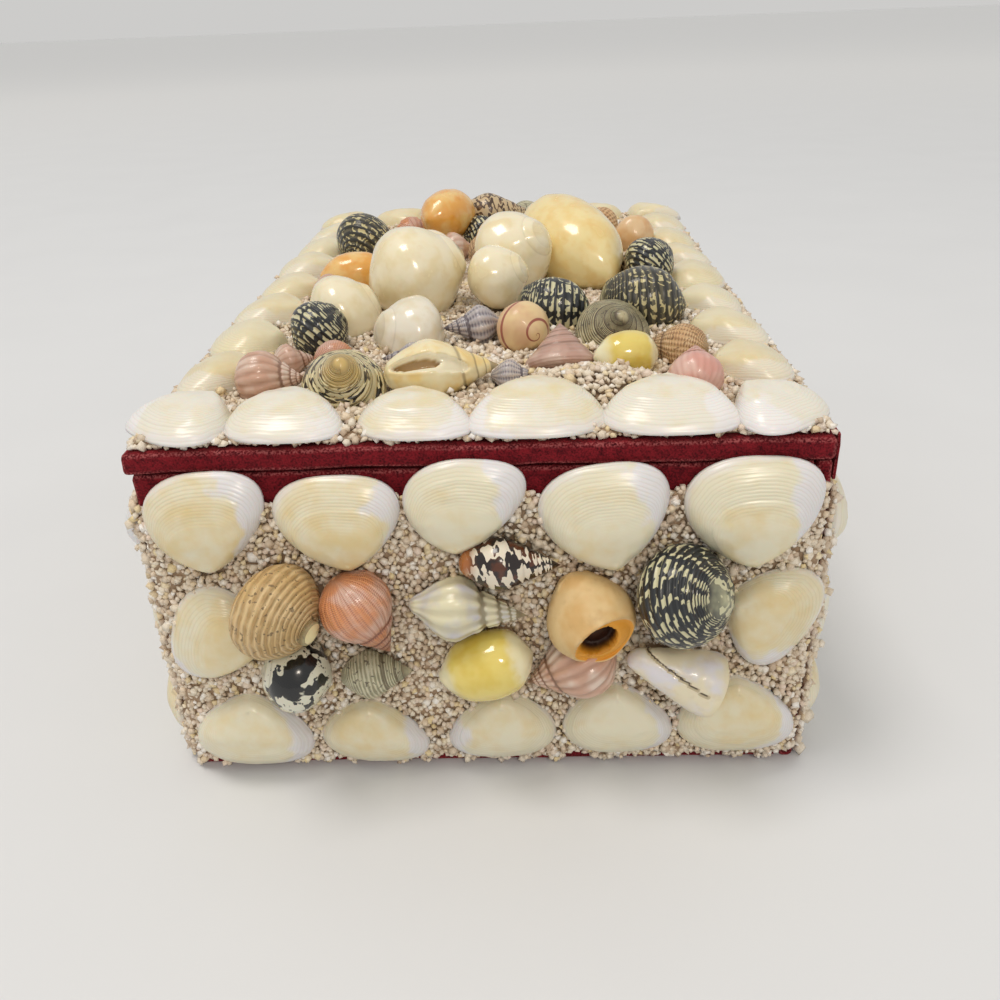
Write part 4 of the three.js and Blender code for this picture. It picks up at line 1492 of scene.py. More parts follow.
def pebbles(places: np.ndarray, size: float, rng: np.random.Generator) -> Surface:
    """Blunt grains, each a squashed and turned double pyramid with uneven corners.

    Args:
        places: The grains' middles.
        size: Their usual diameter.
        rng: Chooses their shapes.

    Returns:
        All of them as one surface, each with its own number for the colour.
    """
    side = np.arange(5)
    after = (side + 1) % 5
    angle = side * 2 * math.pi / 5
    girdle = np.stack([1.1 * np.cos(angle), 1.1 * np.sin(angle), 0.2 * np.cos(2 * angle)], 1)
    shape = np.concatenate([[[0, 0, 0.95]], girdle, [[0, 0, -0.8]]])
    top = np.stack([np.zeros(5, int), side + 1, after + 1], 1)
    under = np.stack([np.full(5, 6), after + 1, side + 1], 1)
    faces = np.concatenate([top, under])
    count = len(places)
    radius = size / 2 * np.exp(rng.normal(0, 0.2, count))
    stretch = rng.uniform(0.75, 1.25, (count, 1, 3)) * radius[:, None, None]
    lumps = rng.uniform(0.82, 1.16, (count, len(shape), 1))
    points = shape[None] * lumps * stretch
    for one, two, turn in ((1, 2, rng.normal(0, 0.7, count)), (0, 1, rng.uniform(0, 2 * math.pi, count))):
        cos, sin = np.cos(turn)[:, None], np.sin(turn)[:, None]
        first, second = points[:, :, one].copy(), points[:, :, two].copy()
        points[:, :, one] = first * cos - second * sin
        points[:, :, two] = first * sin + second * cos
    points += places[:, None]
    all_faces = (faces[None] + (np.arange(count) * len(shape))[:, None, None]).reshape(-1, 3)
    grain = np.repeat(rng.uniform(size=count), len(shape))
    return Surface(points.reshape(-1, 3), [all_faces], None, {"grain": grain})


def rounded_box(low: tuple, high: tuple, step: float, radius: float) -> Surface:
    """A block with soft edges, gridded finely enough to be bent.

    Args:
        low: Its lowest corner.
        high: Its highest corner.
        step: The size of a grid cell.
        radius: How far its edges are rounded.

    Returns:
        The closed surface.
    """
    low, high = np.array(low, float), np.array(high, float)
    lines = []
    for least, most in zip(low, high):
        middle = np.linspace(least + radius, most - radius, max(2, int((most - least) / step) + 1))
        lines.append(np.concatenate([[least, least + radius * 0.3], middle, [most - radius * 0.3, most]]))
    points, faces, count = [], [], 0
    for axis in range(3):
        one, two = (axis + 1) % 3, (axis + 2) % 3
        a, b = np.meshgrid(lines[one], lines[two], indexing="ij")
        for end, value in enumerate((low[axis], high[axis])):
            side = np.empty((a.size, 3))
            side[:, one], side[:, two], side[:, axis] = a.ravel(), b.ravel(), value
            index = np.arange(a.size).reshape(a.shape) + count
            around = [index[:-1, :-1], index[1:, :-1], index[1:, 1:], index[:-1, 1:]]
            quads = np.stack(around, 2).reshape(-1, 4)
            points.append(side)
            faces.append(quads if end else quads[:, ::-1])
            count += a.size
    points, faces = np.concatenate(points), np.concatenate(faces)
    _, kept, places = np.unique(np.round(points, 4), axis=0, return_index=True, return_inverse=True)
    points = points[kept]
    core = np.clip(points, low + radius, high - radius)
    away = points - core
    reach = np.linalg.norm(away, axis=1, keepdims=True)
    bent = (np.abs(away) > 0.2 * radius).sum(axis=1) > 1
    points = np.where(reach > 0, core + away / np.maximum(reach, 1e-9) * radius, points)
    return Surface(points, [places.ravel()[faces]], None, {"fold": bent.astype(float)})


# ------------------------------------------------------------------------ sub-assemblies


@dataclass(frozen=True)
class Kit:
    """Every finish of the box, made once.

    Attributes:
        flock: The boards' paper.
        clam: The tray's clams.
        pale_clam: The clams along the lid's front edge.
        honey_clam: The clams along the lid's other edges.
        snails: The sea snails.
        grains: The grains of sand.
        glue: The glued ground under them, brown as painted shadow between the grains.
    """

    flock: bpy.types.Material
    clam: bpy.types.Material
    pale_clam: bpy.types.Material
    honey_clam: bpy.types.Material
    snails: dict[Finish, bpy.types.Material]
    grains: bpy.types.Material
    glue: bpy.types.Material

    @classmethod
    def make(cls) -> "Kit":
        """Makes every material.

        Returns:
            The finishes.
        """
        sand = CoralSand()
        return cls(
            flock=FlockedPaper().make(),
            clam=ClamShell().make(),
            pale_clam=ClamShell("white_clam", "#e8e4d6", "#e2d4a8", "#edebea").make(),
            honey_clam=ClamShell("honey_clam", "#e5dbb8", "#dccb9c", "#e5decb").make(),
            snails={finish: finish.value[1].make() for finish in Finish},
            grains=sand.make(),
            glue=sand.make_shadow_bed(),
        )


@dataclass(frozen=True)
class Boards:
    """The flocked tray, its spine board and the lid board.

    Attributes:
        flock: Their material.
        step: The grid's cell, in millimetres.
        softness: The radius of the paper's folds.
        wall: How thick the tray's walls and floor are.
        uneven: How far the paper's surface strays, in millimetres.
        warp: How far the lid board is warped.
        crush: How far its front left corner is pressed down.
        crush_reach: How far that reaches along the board.
    """

    flock: bpy.types.Material
    step: float = 3.6
    softness: float = 0.9
    wall: float = 3.0
    uneven: float = 0.08
    warp: float = 0.25
    crush: float = 0.5
    crush_reach: float = 7.0

    LONG_WAVE = 60.0  # the length of the warp's waves, in millimetres
    SHORT_WAVE = 5.0  # the length of the surface's waves
    OVERSHOOT = 8.0  # how far the tray's hollow reaches over the rim

    def build(self) -> None:
        """Makes every board and the hinge."""
        self.make_tray()
        self.make_spine()
        self.make_lid()
        self.make_hinge()

    def board(self, node: str, sag: float) -> Surface:
        """A CAD board with soft, slightly uneven edges.

        Args:
            node: The board's CAD node.
            sag: How far it is warped, in millimetres.

        Returns:
            The board in the frame of the box.
        """
        low, high = (np.array(corner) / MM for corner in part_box(node))
        board = rounded_box(low, high, self.step, self.softness)
        board.points[:, 2] += sag * waves(board.points[:, :2], self.LONG_WAVE, SEED)
        board.points += self.uneven * waves(board.points, self.SHORT_WAVE, SEED + 1)[:, None]
        return board

    def make_tray(self) -> None:
        """The open tray: a soft outer block less its hollow."""
        low, high = (np.array(corner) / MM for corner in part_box("tray"))
        tray = make_piece("tray_board", self.board("tray", 0.0), self.flock, BOX_BODY, "tray")
        top = high + [-self.wall, -self.wall, self.OVERSHOOT]
        inner = rounded_box(low + self.wall, top, 20.0, 0.3)
        cutter = make_mesh("hollow", inner, self.flock)
        cut = tray.modifiers.new("hollow", "BOOLEAN")
        cut.operation = "DIFFERENCE"
        cut.object = cutter
        cut.solver = "EXACT"
        graph = bpy.context.evaluated_depsgraph_get()
        hollowed = bpy.data.meshes.new_from_object(tray.evaluated_get(graph))
        tray.modifiers.clear()
        tray.data = hollowed
        bpy.data.objects.remove(cutter)

    def make_spine(self) -> None:
        """The spine board on the outside of the hinge wall."""
        make_piece("spine", self.board("spine_board", 0.0), self.flock, BOX_BODY, "spine_board")

    def make_lid(self) -> None:
        """The lid board, a little warped, with a crushed front left corner."""
        board = self.board("lid_board", self.warp)
        low, _ = (np.array(corner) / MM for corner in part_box("lid_board"))
        away = np.hypot(board.points[:, 0] - low[0], board.points[:, 1] - low[1])
        board.points[:, 2] -= self.crush * np.exp(-((away / self.crush_reach) ** 2))
        make_piece("lid_top_board", board, self.flock, LID_BODY, "lid_board")

    def make_hinge(self) -> None:
        """The strip of flocked paper along the spine's upper edge."""
        low = np.array(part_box("hinge_cloth_box")[0]) / MM
        high = np.array(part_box("hinge_cloth_lid")[1]) / MM
        strip = rounded_box(low, high, self.step / 2, 0.25)
        strip.points[:, 0] += 0.12 * waves(strip.points[:, 1:], 12.0, SEED + 3)
        hinge = make_mesh("hinge_cloth", strip, self.flock)
        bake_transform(hinge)
        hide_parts("hinge_cloth_box", "hinge_cloth_lid")


@dataclass(frozen=True)
class Row:
    """Clams evenly along a line of a face.

    Attributes:
        start: The first clam's place.
        end: The last clam's place.
        count: How many there are.
        heading: Where their margins point.
        length: A clam's usual length, in millimetres.
        height: A clam's usual height.
        dome: A clam's depth as a share of its length.
    """

    start: tuple[float, float]
    end: tuple[float, float]
    count: int
    heading: float
    length: float
    height: float
    dome: float = 0.25

    def clams(self) -> list[tuple[tuple[float, float], Clam]]:
        """The row's clams, none quite like the next.

        Returns:
            Each clam with its place.
        """
        found = []
        for place in range(self.count):
            share = place / (self.count - 1) if self.count > 1 else 0.5
            waver = 1 + 0.05 * math.sin(2.4 * place + self.heading)
            at = tuple(a + share * (b - a) for a, b in zip(self.start, self.end))
            heading = self.heading + 5 * math.sin(1.7 * place + 1)
            lean = 2 * math.cos(2.1 * place)
            drawn = 1 if math.sin(3.3 * place + self.heading) > -0.4 else -1
            clam = Clam(self.length * waver, self.height * waver, heading, lean, drawn, dome=self.dome)
            found.append((at, clam))
        return found


def low_snail(
    form: SnailForm, finish: Finish, at: tuple[float, float], sizes: tuple[float, float], heading: float
) -> tuple[tuple[float, float, float], Snail]:
    """A snail that the CAD fuses with the sand, with its place as the CAD gives it.

    Args:
        form: Its kind.
        finish: Its finish.
        at: Its place on the face.
        sizes: Its length and width.
        heading: Where its apex points.

    Returns:
        Its place and the snail.
    """
    snail = Snail(form, finish, *sizes, heading, steps=32, fine=1.12)
    return (at[0], at[1], SAND_DEPTH + 0.3 * sizes[1]), snail


@dataclass
class Decoration:
    """The shells and the sand of one face.

    Attributes:
        face: The face.
        kit: The finishes.
    """

    face: Face
    kit: Kit

    def named_clams(self, clams: dict[str, Clam]) -> None:
        """Clams that are CAD nodes of their own.

        Args:
            clams: Each node's clam.
        """
        for seed, (node, clam) in enumerate(clams.items(), SEED):
            turned = clam.surface(seed).turned(clam.heading)
            turned.points[:, 2] -= NAMED_SINK
            laid = self.face.onto(node, turned)
            self.face.put(f"{node}_shell", [laid], self.kit.clam, "ivory_shell", node)

    def row_clams(
        self, name: str, placed: list[tuple[tuple[float, float], Clam]], seed: int, finish: bpy.types.Material
    ) -> None:
        """Clams that the CAD fuses with the sand, as one piece.

        Args:
            name: The piece's name.
            placed: Each clam with its place.
            seed: Chooses their blotches.
            finish: Their material.
        """
        clams = []
        for count, (at, clam) in enumerate(placed):
            turned = clam.surface(seed + count).turned(clam.heading)
            clams.append(turned.moved(np.array([at[0], at[1], SAND_DEPTH - FUSED_SINK])))
        self.face.put(name, clams, finish, SAND, self.face.node)

    def named_snails(self, snails: dict[str, Snail]) -> None:
        """Snails that are CAD nodes of their own.

        Args:
            snails: Each node's snail.
        """
        for seed, (node, snail) in enumerate(snails.items(), 10 * SEED):
            turned = snail.surface(seed).turned(snail.heading, snail.tilt, snail.roll)
            laid = self.face.onto(node, turned)
            slot = snail.finish.value[0]
            self.face.put(f"{node}_shell", [laid], self.kit.snails[snail.finish], slot, node)

    def fused_snails(self, snails: dict[str, tuple[tuple[float, float, float], Snail]]) -> None:
        """Snails that the CAD fuses with the sand.

        Args:
            snails: Each piece's place and snail.
        """
        for seed, (name, (at, snail)) in enumerate(snails.items(), 20 * SEED):
            turned = snail.surface(seed).turned(snail.heading, snail.tilt, snail.roll)
            slot = snail.finish.value[0]
            laid = turned.moved(np.array(at))
            self.face.put(name, [laid], self.kit.snails[snail.finish], slot, self.face.node)


@dataclass(frozen=True)
class Sizes:
    """The CAD's main sizes, in millimetres.

    Attributes:
        half_length: From the middle to the end walls' outsides.
        half_width: From the middle to the long sides' outsides.
        rim: The height of the tray's rim.
        lid_top: The height of the lid board's upper side.
    """

    half_length: float
    half_width: float
    rim: float
    lid_top: float

    @classmethod
    def read(cls) -> "Sizes":
        """The sizes of the CAD's boards."""
        tray, spine, lid = (np.array(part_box(node)[1]) / MM for node in ("tray", "spine_board", "lid_board"))
        return cls(tray[1], spine[0], tray[2], lid[2])


def wall(name: str, turn: float, distance: float, half_span: float, top: float) -> Face:
    """A wall's face, seen from outside.

    Args:
        name: Which wall it is.
        turn: Its turn about the upright, in degrees from the front.
        distance: How far it stands from the middle, in millimetres.
        half_span: Half the wall's length.
        top: The height of its sand's upper edge.

    Returns:
        The face.
    """
    angle = math.radians(turn)
    across = np.array([math.cos(angle), math.sin(angle), 0.0])
    out = np.array([math.sin(angle), -math.cos(angle), 0.0])
    axes = np.array([across, [0.0, 0.0, 1.0], out])
    reach = half_span - SAND_MARGIN
    return Face(name, out * distance, axes, BOX_BODY, f"{name}_sand", (-reach, SAND_MARGIN), (reach, top), [])


@dataclass(frozen=True)
class FrontEnd:
    """The end wall that faces the viewer, with its twelve clams and eleven sea snails.

    Attributes:
        kit: The finishes.
        sizes: The CAD's sizes.
        bare: The paper left bare above and below the sand.
        pitch: The distance between its grains.
    """

    kit: Kit
    sizes: Sizes
    bare: tuple[float, float] = (2.6, 2.4)
    pitch: float = 1.02

    CLAMS = {
        "front_clam_top_1": Clam(21, 18.6, 94, -1, 1, 14, 50),
        "front_clam_top_2": Clam(21.6, 17.6, 92, 2, 1, 14, 50),
        "front_clam_top_3": Clam(20.2, 17.2, 88, -2, 1, 13, 50),
        "front_clam_top_4": Clam(22, 19.6, 97, 1, 1, 15, 50),
        "front_clam_top_5": Clam(23, 20.2, 90, 1, 1, 15, 50),
        "front_clam_side_left": Clam(20.4, 17, 163, 0, -1, 10, 50),
        "front_clam_side_right": Clam(21, 16.4, -28, 0, 1, 10, 50),
        "front_clam_bottom_1": Clam(22.6, 17.2, -90, -1, -1, 10, 50),
        "front_clam_bottom_2": Clam(20.4, 15, -91, 1, -1, 10, 50),
        "front_clam_bottom_3": Clam(20.4, 15.6, -90, 0, 1, 10, 50),
        "front_clam_bottom_4": Clam(20.6, 16.6, -87, 0, -1, 10, 50),
        "front_clam_bottom_5": Clam(22, 17.8, -87, 0, -1, 10, 50),
    }
    SNAILS = {
        "striped_nerite": Snail(NERITE, Finish.STRIPED, 16, 17.6, 26, 42, steps=56),
        "open_moon_snail": Snail(
            replace(MOON, groove=0.018), Finish.TAN, 17, 15.4, 112, -8, start=150, steps=96, fine=1.045,
            mouth=Mouth(1.4, -3.4, 11.6, 8, 4.6, 19, 1.1, 0.64, (-0.1, 0.24)),
        ),
        "ribbed_cap_shell": Snail(CAP, Finish.RIDGED, 15.4, 17, -18, 28, steps=72, fine=1.06),
        "orange_whelk": Snail(BASKET, Finish.ORANGE, 17.4, 12.4, -62, steps=96, fine=1.06),
        "knobbed_whelk": Snail(
            replace(WHELK, ribs=11, rib_height=0.04, knobs=0.07, groove=0.15), Finish.GREY, 20.4, 11, -8,
            steps=76, fine=1.06,
        ),
        "patterned_dove_shell": Snail(DOVE, Finish.TENT, 17, 9.2, -3, steps=56),
        "yellow_bubble_shell": Snail(BUBBLE, Finish.YELLOW, 17.6, 12.4, 18),
        "pink_turban": Snail(
            replace(BASKET, ribs=16, rib_height=0.05), Finish.PINK, 17, 12, 203, steps=72, fine=1.06
        ),
        "broken_conch": Snail(
            CONE, Finish.CONCH, 18, 12, -24, steps=80, fine=1.05,
            mouth=Mouth(-1.6, -0.5, 16, 0.5, 0.4, 82, 0.15, 0.9),
        ),
        "dotted_nerite": Snail(NERITE, Finish.BLOTCHED, 12.6, 13.4, 160, 10),
        "speckled_top_shell": Snail(replace(DOVE, groove=0.1, turns=3), Finish.SPECKLED, 13.2, 9, 4),
    }

    def build(self) -> None:
        """Lays the shells and pours the sand between them."""
        sizes = self.sizes
        face = wall("front", 0, sizes.half_length, sizes.half_width, sizes.rim - END_GAP)
        shells = Decoration(face, self.kit)
        shells.named_clams(self.CLAMS)
        shells.named_snails(self.SNAILS)
        SandBed(face, SAND_DEPTH, self.pitch, self.bare).make(self.kit.grains, self.kit.glue, SEED)


@dataclass(frozen=True)
class BackEnd:
    """The hidden end wall, with clams all round and five sea snails between.

    Attributes:
        kit: The finishes.
        sizes: The CAD's sizes.
        pitch: The distance between its grains.
    """

    kit: Kit
    sizes: Sizes
    pitch: float = 1.25

    ROWS = (
        Row((-45, 55), (45, 55), 5, 90, 21, 17.6),
        Row((-45, 11), (45, 11), 5, -90, 21, 16.4),
        Row((-48, 33), (-48, 33), 1, 176, 20, 16),
        Row((48, 33), (48, 33), 1, 4, 20, 16),
    )

    def build(self) -> None:
        """Lays the shells and pours the sand between them."""
        sizes = self.sizes
        face = wall("back", 180, sizes.half_length, sizes.half_width, sizes.rim - END_GAP)
        shells = Decoration(face, self.kit)
        clams = [clam for row in self.ROWS for clam in row.clams()]
        shells.row_clams("back_clams", clams, BACK_CLAMS_SEED, self.kit.clam)
        shells.fused_snails(
            {
                "back_moon_snail": low_snail(MOON, Finish.CREAM, (-28, 35), (15, 15), 60),
                "back_nerite": low_snail(NERITE, Finish.STRIPED, (-11, 32), (13, 14), 150),
                "back_whelk": low_snail(WHELK, Finish.ORANGE, (6, 36), (18, 11), 10),
                "back_bubble": low_snail(BUBBLE, Finish.YELLOW, (14, 25), (15, 10), 170),
                "back_top_shell": low_snail(TOP, Finish.SPECKLED, (28, 35), (15, 13), 300),
            }
        )
        SandBed(face, SAND_DEPTH, self.pitch).make(self.kit.grains, self.kit.glue, SEED + 1)


@dataclass(frozen=True)
class LongSide:
    """One of the two long walls: clams above, below and at the ends, six snails along the middle.

    Attributes:
        kit: The finishes.
        sizes: The CAD's sizes.
        name: Which side it is.
        turn: Its turn about the upright, in degrees from the front.
        phase: Moves its snails and picks its grains.
        pitch: The distance between its grains.
        spacing: The distance between its snails, in millimetres.
    """

    kit: Kit
    sizes: Sizes
    name: str
    turn: float
    phase: int
    pitch: float = 1.36
    spacing: float = 22.0

    SNAILS = (
        (NERITE, Finish.STRIPED),
        (MOON, Finish.CREAM),
        (WHELK, Finish.PINK),
        (BUBBLE, Finish.YELLOW),
        (NERITE, Finish.BLOTCHED),
        (WHELK, Finish.ORANGE),
    )

    def build(self) -> None:
        """Lays the shells and pours the sand between them."""
        sizes = self.sizes
        face = wall(self.name, self.turn, sizes.half_width, sizes.half_length, sizes.rim - SIDE_GAP)
        span = sizes.half_length - 12
        rows = [
            Row((-span, 49.5), (span, 49.5), 8, 90, 21, 16.6),
            Row((-span, 11), (span, 11), 8, -90, 21, 16.4),
            Row((-span - 3, 31), (-span - 3, 31), 1, 176, 18, 15),
            Row((span + 3, 31), (span + 3, 31), 1, 4, 18, 15),
        ]
        shells = Decoration(face, self.kit)
        clams = [clam for row in rows for clam in row.clams()]
        shells.row_clams(f"{self.name}_clams", clams, SIDE_CLAMS_SEED + self.phase, self.kit.clam)
        shells.fused_snails(self.snails())
        SandBed(face, SAND_DEPTH, self.pitch).make(self.kit.grains, self.kit.glue, SEED + 2 + self.phase)

    def snails(self) -> dict[str, tuple[tuple[float, float, float], Snail]]:
        """The snails of the middle row.

        Returns:
            For each piece its place and its snail.
        """
        found = {}
        for place, (form, finish) in enumerate(self.SNAILS):
            along = (place - (len(self.SNAILS) - 1) / 2) * self.spacing
            at = (along, 31 + 3 * math.sin(2 * place + self.phase))
            size = (15, 9) if form is WHELK else (12, 10)
            heading = 77 * (place + self.phase)
            found[f"{self.name}_snail_{place + 1}"] = low_snail(form, finish, at, size, heading)
        return found


@dataclass(frozen=True)
class LidTop:
    """The lid's upper side: a border of clams, heaped sea snails and a mound of sand in front.

    Attributes:
        kit: The finishes.
        sizes: The CAD's sizes.
        bare: The paper left bare at its back and front edges.
        mound: The mound's place, half sizes and height, in millimetres.
        pitch: The distance between the grains.
    """

    kit: Kit
    sizes: Sizes
    bare: tuple[float, float] = (0.4, 0.2)
    mound: tuple[float, float, float, float, float] = (20.0, -74.0, 14.5, 8.5, 4.2)
    pitch: float = 1.16

    FRONT_CLAMS = (
        ((-32.4, -85), Clam(20.6, 16.6, -90, 0, -1, 12, 50, 0.26, 0.8)),
        ((-10.6, -85.4), Clam(19.6, 16, -90, 1, -1, 12, 50, 0.26, 0.8)),
        ((9.9, -84.6), Clam(23.4, 18, -90, 0, 1, 14, 50, 0.26, 0.8)),
        ((32, -85), Clam(23, 17.4, -90, -1, -1, 14, 50, 0.26, 0.8)),
        ((-50, -84.4), Clam(19.6, 16, 232, 0, 1, 12, 50, 0.26, 0.8)),
        ((49.4, -85), Clam(18.4, 15.4, -52, 0, 1, 12, 50, 0.26, 0.8)),
    )
    BORDER = (
        Row((-49.5, -64), (-49.5, 62), 7, 180, 20.4, 16.4, 0.29),
        Row((49.5, -65), (49.5, 62), 7, 0, 20, 15.6, 0.29),
        Row((-31, 85), (31, 85), 4, 90, 20, 15.4, 0.29),
    )
    CORNERS = (((-49.6, 84), Clam(18.6, 15, 135, dome=0.29)), ((49.6, 84), Clam(18.6, 15, 45, dome=0.29)))
    SNAILS = {
        "great_moon_snail": Snail(MOON, Finish.CREAM, 23.6, 22.6, 20, 20, steps=64),
        "great_cowry": Snail(BUBBLE, Finish.AMBER, 38, 22.6, 118, 12, steps=56),
        "small_moon_snail": Snail(MOON, Finish.CREAM, 14.6, 14.4, 345, 20, steps=52),
        "spiral_moon_snail": Snail(MOON, Finish.CREAM, 20, 20, 330, 30, steps=56),
        "great_nerite": Snail(NERITE, Finish.OLIVE, 18.6, 15.2, 175, 8, steps=56),
        "dark_nerite": Snail(NERITE, Finish.STRIPED, 16.6, 13, 170, 14, steps=56),
        "black_nerite": Snail(NERITE, Finish.STRIPED, 11.6, 12.4, 30, 30),
        "striped_top_shell": Snail(TOP, Finish.LINED, 12, 15.6, 280, 42, steps=56),
        "cream_turban": Snail(TOP, Finish.TURBAN, 13.6, 15.2, 280, 46, steps=56),
        "left_nerite": Snail(NERITE, Finish.STRIPED, 12, 12.4, 30, 30),
        "left_moon_snail": Snail(MOON, Finish.CREAM, 16, 17.4, 20, 20),
        "white_moon_snail": Snail(MOON, Finish.WHITE, 15, 16, 200, 20),
        "little_strombus": Snail(
            replace(DOVE, groove=0.08), Finish.STROMBUS, 21, 11.6, 12, roll=48, steps=76, fine=1.06,
            mouth=Mouth(0.6, -2.6, 14.5, 3.4, 1.4, 84, 0.8, 0.62, (-0.3, 0.15)),
        ),
        "pink_ribbed_whelk": Snail(
            replace(BASKET, ribs=15, rib_height=0.05), Finish.PINK, 13, 10, 0, steps=52
        ),
        "banded_shell": Snail(MOON, Finish.TAN_BAND, 12, 11, 120),
        "beaded_whelk": Snail(replace(WHELK, ribs=12, knobs=0.05), Finish.BLUE, 12.6, 8, 190, steps=52),
        "pink_cone_shell": Snail(TOP, Finish.DUSKY, 10, 14, 92, 60),
        "blue_spire_shell": Snail(WHELK, Finish.BLUE, 9, 6, -10, steps=52),
        "glossy_yellow_shell": Snail(BUBBLE, Finish.YELLOW, 12.6, 9, 10),
        "tan_netted_shell": Snail(BASKET, Finish.NETTED, 13, 9, 150, steps=52),
        "rose_whelk": Snail(BASKET, Finish.ROSE, 12, 9.6, 84, 30, steps=52),
        "orange_bubble_shell": Snail(BUBBLE, Finish.COWRY, 17, 11, 10),
        "far_nerite": Snail(NERITE, Finish.OLIVE, 15, 16.6, 60, 20),
        "orange_cowry": Snail(BUBBLE, Finish.COWRY, 20, 14, 60),
        "mottled_dove_shell": Snail(DOVE, Finish.BROWN, 22, 12, 0),
        "brown_spire_shell": Snail(WHELK, Finish.BROWN, 13, 7.4, 80, steps=52),
        "peach_moon_snail": Snail(MOON, Finish.PEACH, 10, 11, 100),
    }
    FILLERS = {
        "lid_small_whelk": low_snail(WHELK, Finish.PINK, (-36.4, -60), (9, 7), 30),
        "lid_orange_bead": low_snail(MOON, Finish.ORANGE, (-28, -61), (8, 8), 90),
        "lid_purple_moon": low_snail(MOON, Finish.PINK, (-39, -9), (8, 8), 200),
        "lid_grey_whelk": low_snail(WHELK, Finish.BLUE, (-14.6, -60), (10, 6.4), 170),
        "lid_back_moon": low_snail(MOON, Finish.CREAM, (-14, 64), (12, 12), 60),
        "lid_back_nerite": low_snail(NERITE, Finish.STRIPED, (-4, 47), (11, 11), 20),
        "lid_brown_moon": low_snail(MOON, Finish.PINK, (22, 62), (9, 8), 20),
        "lid_grey_moon": low_snail(MOON, Finish.NETTED, (32, 59), (11, 10), 60),
        "lid_cream_bubble": low_snail(BUBBLE, Finish.CREAM, (30, 34), (11, 9.6), 80),
        "lid_back_whelk": low_snail(WHELK, Finish.ORANGE, (-26, 54), (15, 10), 120),
        "lid_back_top": low_snail(TOP, Finish.SPECKLED, (8, 66), (12, 11), 250),
        "lid_middle_moon": low_snail(MOON, Finish.CREAM, (-15, 12), (15, 15), 40),
        "lid_middle_basket": low_snail(BASKET, Finish.NETTED, (-2, 21), (15, 11), 250),
        "lid_middle_whelk": low_snail(WHELK, Finish.PINK, (-13, 31), (14, 9), 200),
        "lid_middle_bubble": low_snail(BUBBLE, Finish.YELLOW, (0, 35), (12, 9), 320),
        "lid_middle_nerite": low_snail(NERITE, Finish.STRIPED, (12, 42), (12, 12), 100),
        "lid_right_moon": low_snail(MOON, Finish.PEACH, (25, 47), (10, 10), 150),
    }

    def face(self) -> Face:
        """The lid's upper side.

        Returns:
            The face, measured from the middle of the lid.
        """
        half_width, half_length = self.sizes.half_width - SAND_MARGIN, self.sizes.half_length - SAND_MARGIN
        origin = np.array([0.0, 0.0, self.sizes.lid_top])
        low, high = (-half_width, -half_length), (half_width, half_length)
        return Face("lid", origin, np.eye(3), LID_BODY, "lid_sand", low, high, [])

    def build(self) -> None:
        """Lays the shells and pours the sand between them."""
        face, kit = self.face(), self.kit
        shells = Decoration(face, kit)
        for count, placed in enumerate(self.FRONT_CLAMS, 1):
            shells.row_clams(f"lid_front_clam_{count}", [placed], LID_FRONT_SEED + count, kit.pale_clam)
        border = [clam for row in self.BORDER for clam in row.clams()]
        border += self.CORNERS
        shells.row_clams("lid_border_clams", border, LID_BORDER_SEED, kit.honey_clam)
        shells.named_snails(self.SNAILS)
        shells.fused_snails(self.FILLERS)
        sand = SandBed(face, SAND_DEPTH, self.pitch, self.bare, (self.mound,))
        sand.make(kit.grains, kit.glue, SEED + 9)


# ------------------------------------------------------------------------------ studio


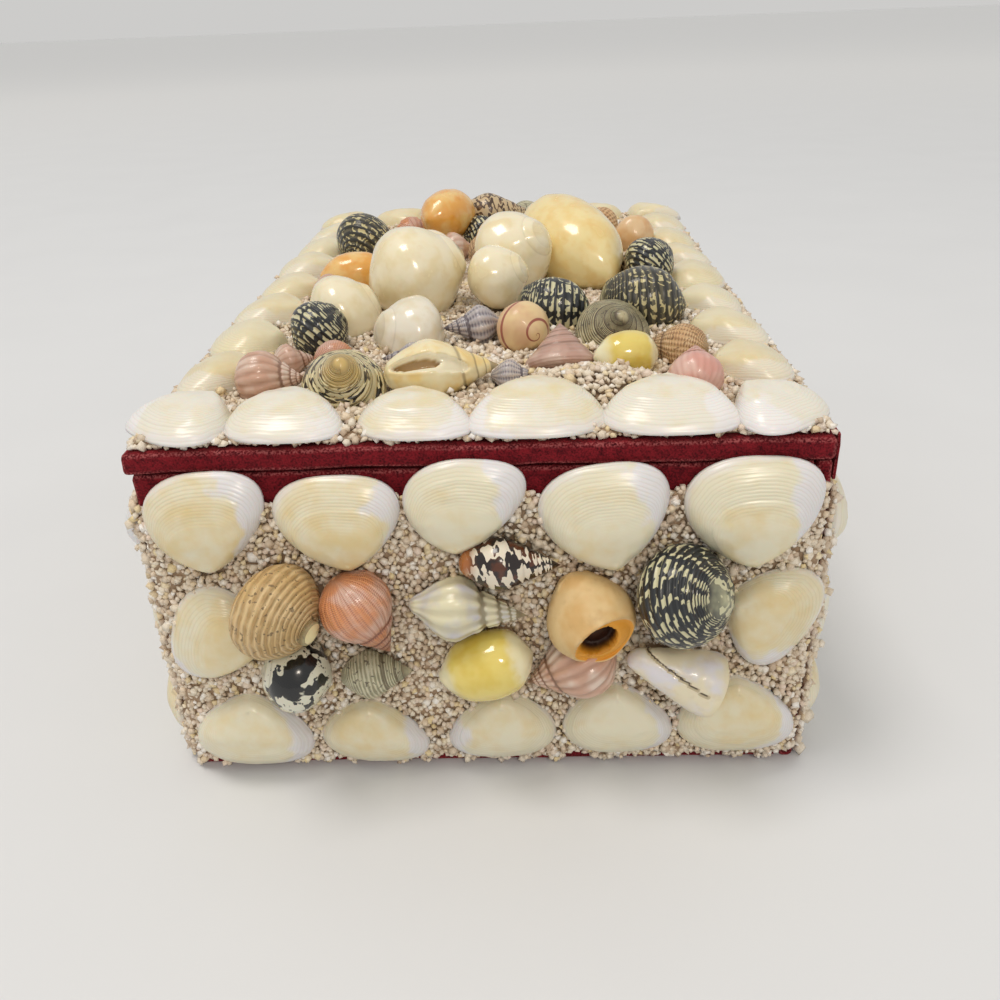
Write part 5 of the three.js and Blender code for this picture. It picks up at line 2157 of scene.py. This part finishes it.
@dataclass(frozen=True)
class Studio:
    """A pale floor, soft lamps and the camera.

    Attributes:
        camera_mm: Where the camera stands.
        yaw: Its turn to the left, in degrees.
        pitch: How far it looks down.
        roll: How far it is tipped.
        lens_mm: Its focal length on a 36 mm sensor.
        floor_reach: Half the floor's side, in metres.
        sky: The strength of the light from all round.
    """

    camera_mm: tuple[float, float, float] = (8.6, -230.2, 128.4)
    yaw: float = 2.14
    pitch: float = 27.3
    roll: float = -2.22
    lens_mm: float = 33.53
    floor_reach: float = 30.0
    sky: float = 0.66

    def build(self) -> None:
        """Builds the floor, the lamps, the world and the camera."""
        self.make_camera()
        self.make_floor()
        self.make_lamps()

    def make_camera(self) -> None:
        """The camera, looking down on the front end from a little to the right."""
        lens = bpy.data.cameras.new("camera")
        lens.lens = self.lens_mm
        lens.sensor_width = 36.0
        lens.clip_start = 0.01
        camera = bpy.data.objects.new("camera", lens)
        bpy.context.scene.collection.objects.link(camera)
        turn = (
            Matrix.Rotation(math.radians(self.yaw), 4, "Z")
            @ Matrix.Rotation(math.radians(90 - self.pitch), 4, "X")
            @ Matrix.Rotation(math.radians(self.roll), 4, "Z")
        )
        camera.matrix_world = Matrix.Translation([value * MM for value in self.camera_mm]) @ turn
        bpy.context.scene.camera = camera

    def make_floor(self) -> None:
        """A wide pale floor, whitened far away as painted light where the lamps no longer reach, so that it
        meets the sky softly.
        """
        mesh = bpy.data.meshes.new("floor")
        reach = self.floor_reach
        corners = [(-reach, -reach, 0), (reach, -reach, 0), (reach, reach, 0), (-reach, reach, 0)]
        mesh.from_pydata(corners, [], [(0, 1, 2, 3)])
        floor = bpy.data.objects.new("floor", mesh)
        bpy.context.scene.collection.objects.link(floor)
        bench = start_material("pale_floor", IOR=1.45)
        add, here = bench.add, bench.place
        paint = add(Step.BLEND, add(Step.SPECKLE, here, per_mm(60.0), 2.0), "#e1e3e5", "#dcdee0")
        # painted light: the floor is whitened with distance to make up for the lamps' falloff
        away = add(Step.LENGTH, here)
        paint = add(Step.BLEND, add(Step.RISE, away, 0.4, 2.5), paint, "#f7f7f6")
        mesh.materials.append(bench.dress(paint, 0.5))

    def make_lamps(self) -> None:
        """A broad lamp high on the left, a small warm one in front and a soft sky."""
        self.lamp("overhead", (-0.7, -0.2, 2.3), 0.8, 20.0, "#fff8f0")
        self.lamp("front", (0.3, -1.3, 1.1), 0.22, 5.0, "#fff2e2")
        world = bpy.data.worlds.new("sky")
        world.use_nodes = True
        sky = world.node_tree.nodes["Background"]
        sky.inputs["Color"].default_value = linear("#f6f5f3")
        sky.inputs["Strength"].default_value = self.sky
        bpy.context.scene.world = world
        bpy.context.scene.view_settings.view_transform = "Standard"

    def lamp(
        self, name: str, place: tuple[float, float, float], size: float, power: float, colour: str
    ) -> None:
        """A square area lamp that looks at the box.

        Args:
            name: Its name.
            place: Where it hangs, in metres.
            size: The length of its side, in metres.
            power: Its power, in watts.
            colour: Its colour.
        """
        light = bpy.data.lights.new(name, "AREA")
        light.size = size
        light.energy = power
        light.color = linear(colour)[:3]
        lamp = bpy.data.objects.new(name, light)
        bpy.context.scene.collection.objects.link(lamp)
        aim = Vector((0, 0, 0.04)) - Vector(place)
        lamp.matrix_world = Matrix.Translation(place) @ aim.to_track_quat("-Z", "Y").to_matrix().to_4x4()


def main() -> None:
    """Builds the box, dresses it and sets up the studio."""
    logging.basicConfig(level=logging.INFO, format="%(message)s")
    kit, sizes = Kit.make(), Sizes.read()
    for part in (
        Boards(kit.flock),
        FrontEnd(kit, sizes),
        BackEnd(kit, sizes),
        LongSide(kit, sizes, "right", 90, 0),
        LongSide(kit, sizes, "left", -90, 3),
        LidTop(kit, sizes),
        Studio(),
    ):
        part.build()


if __name__ == "__main__":
    main()
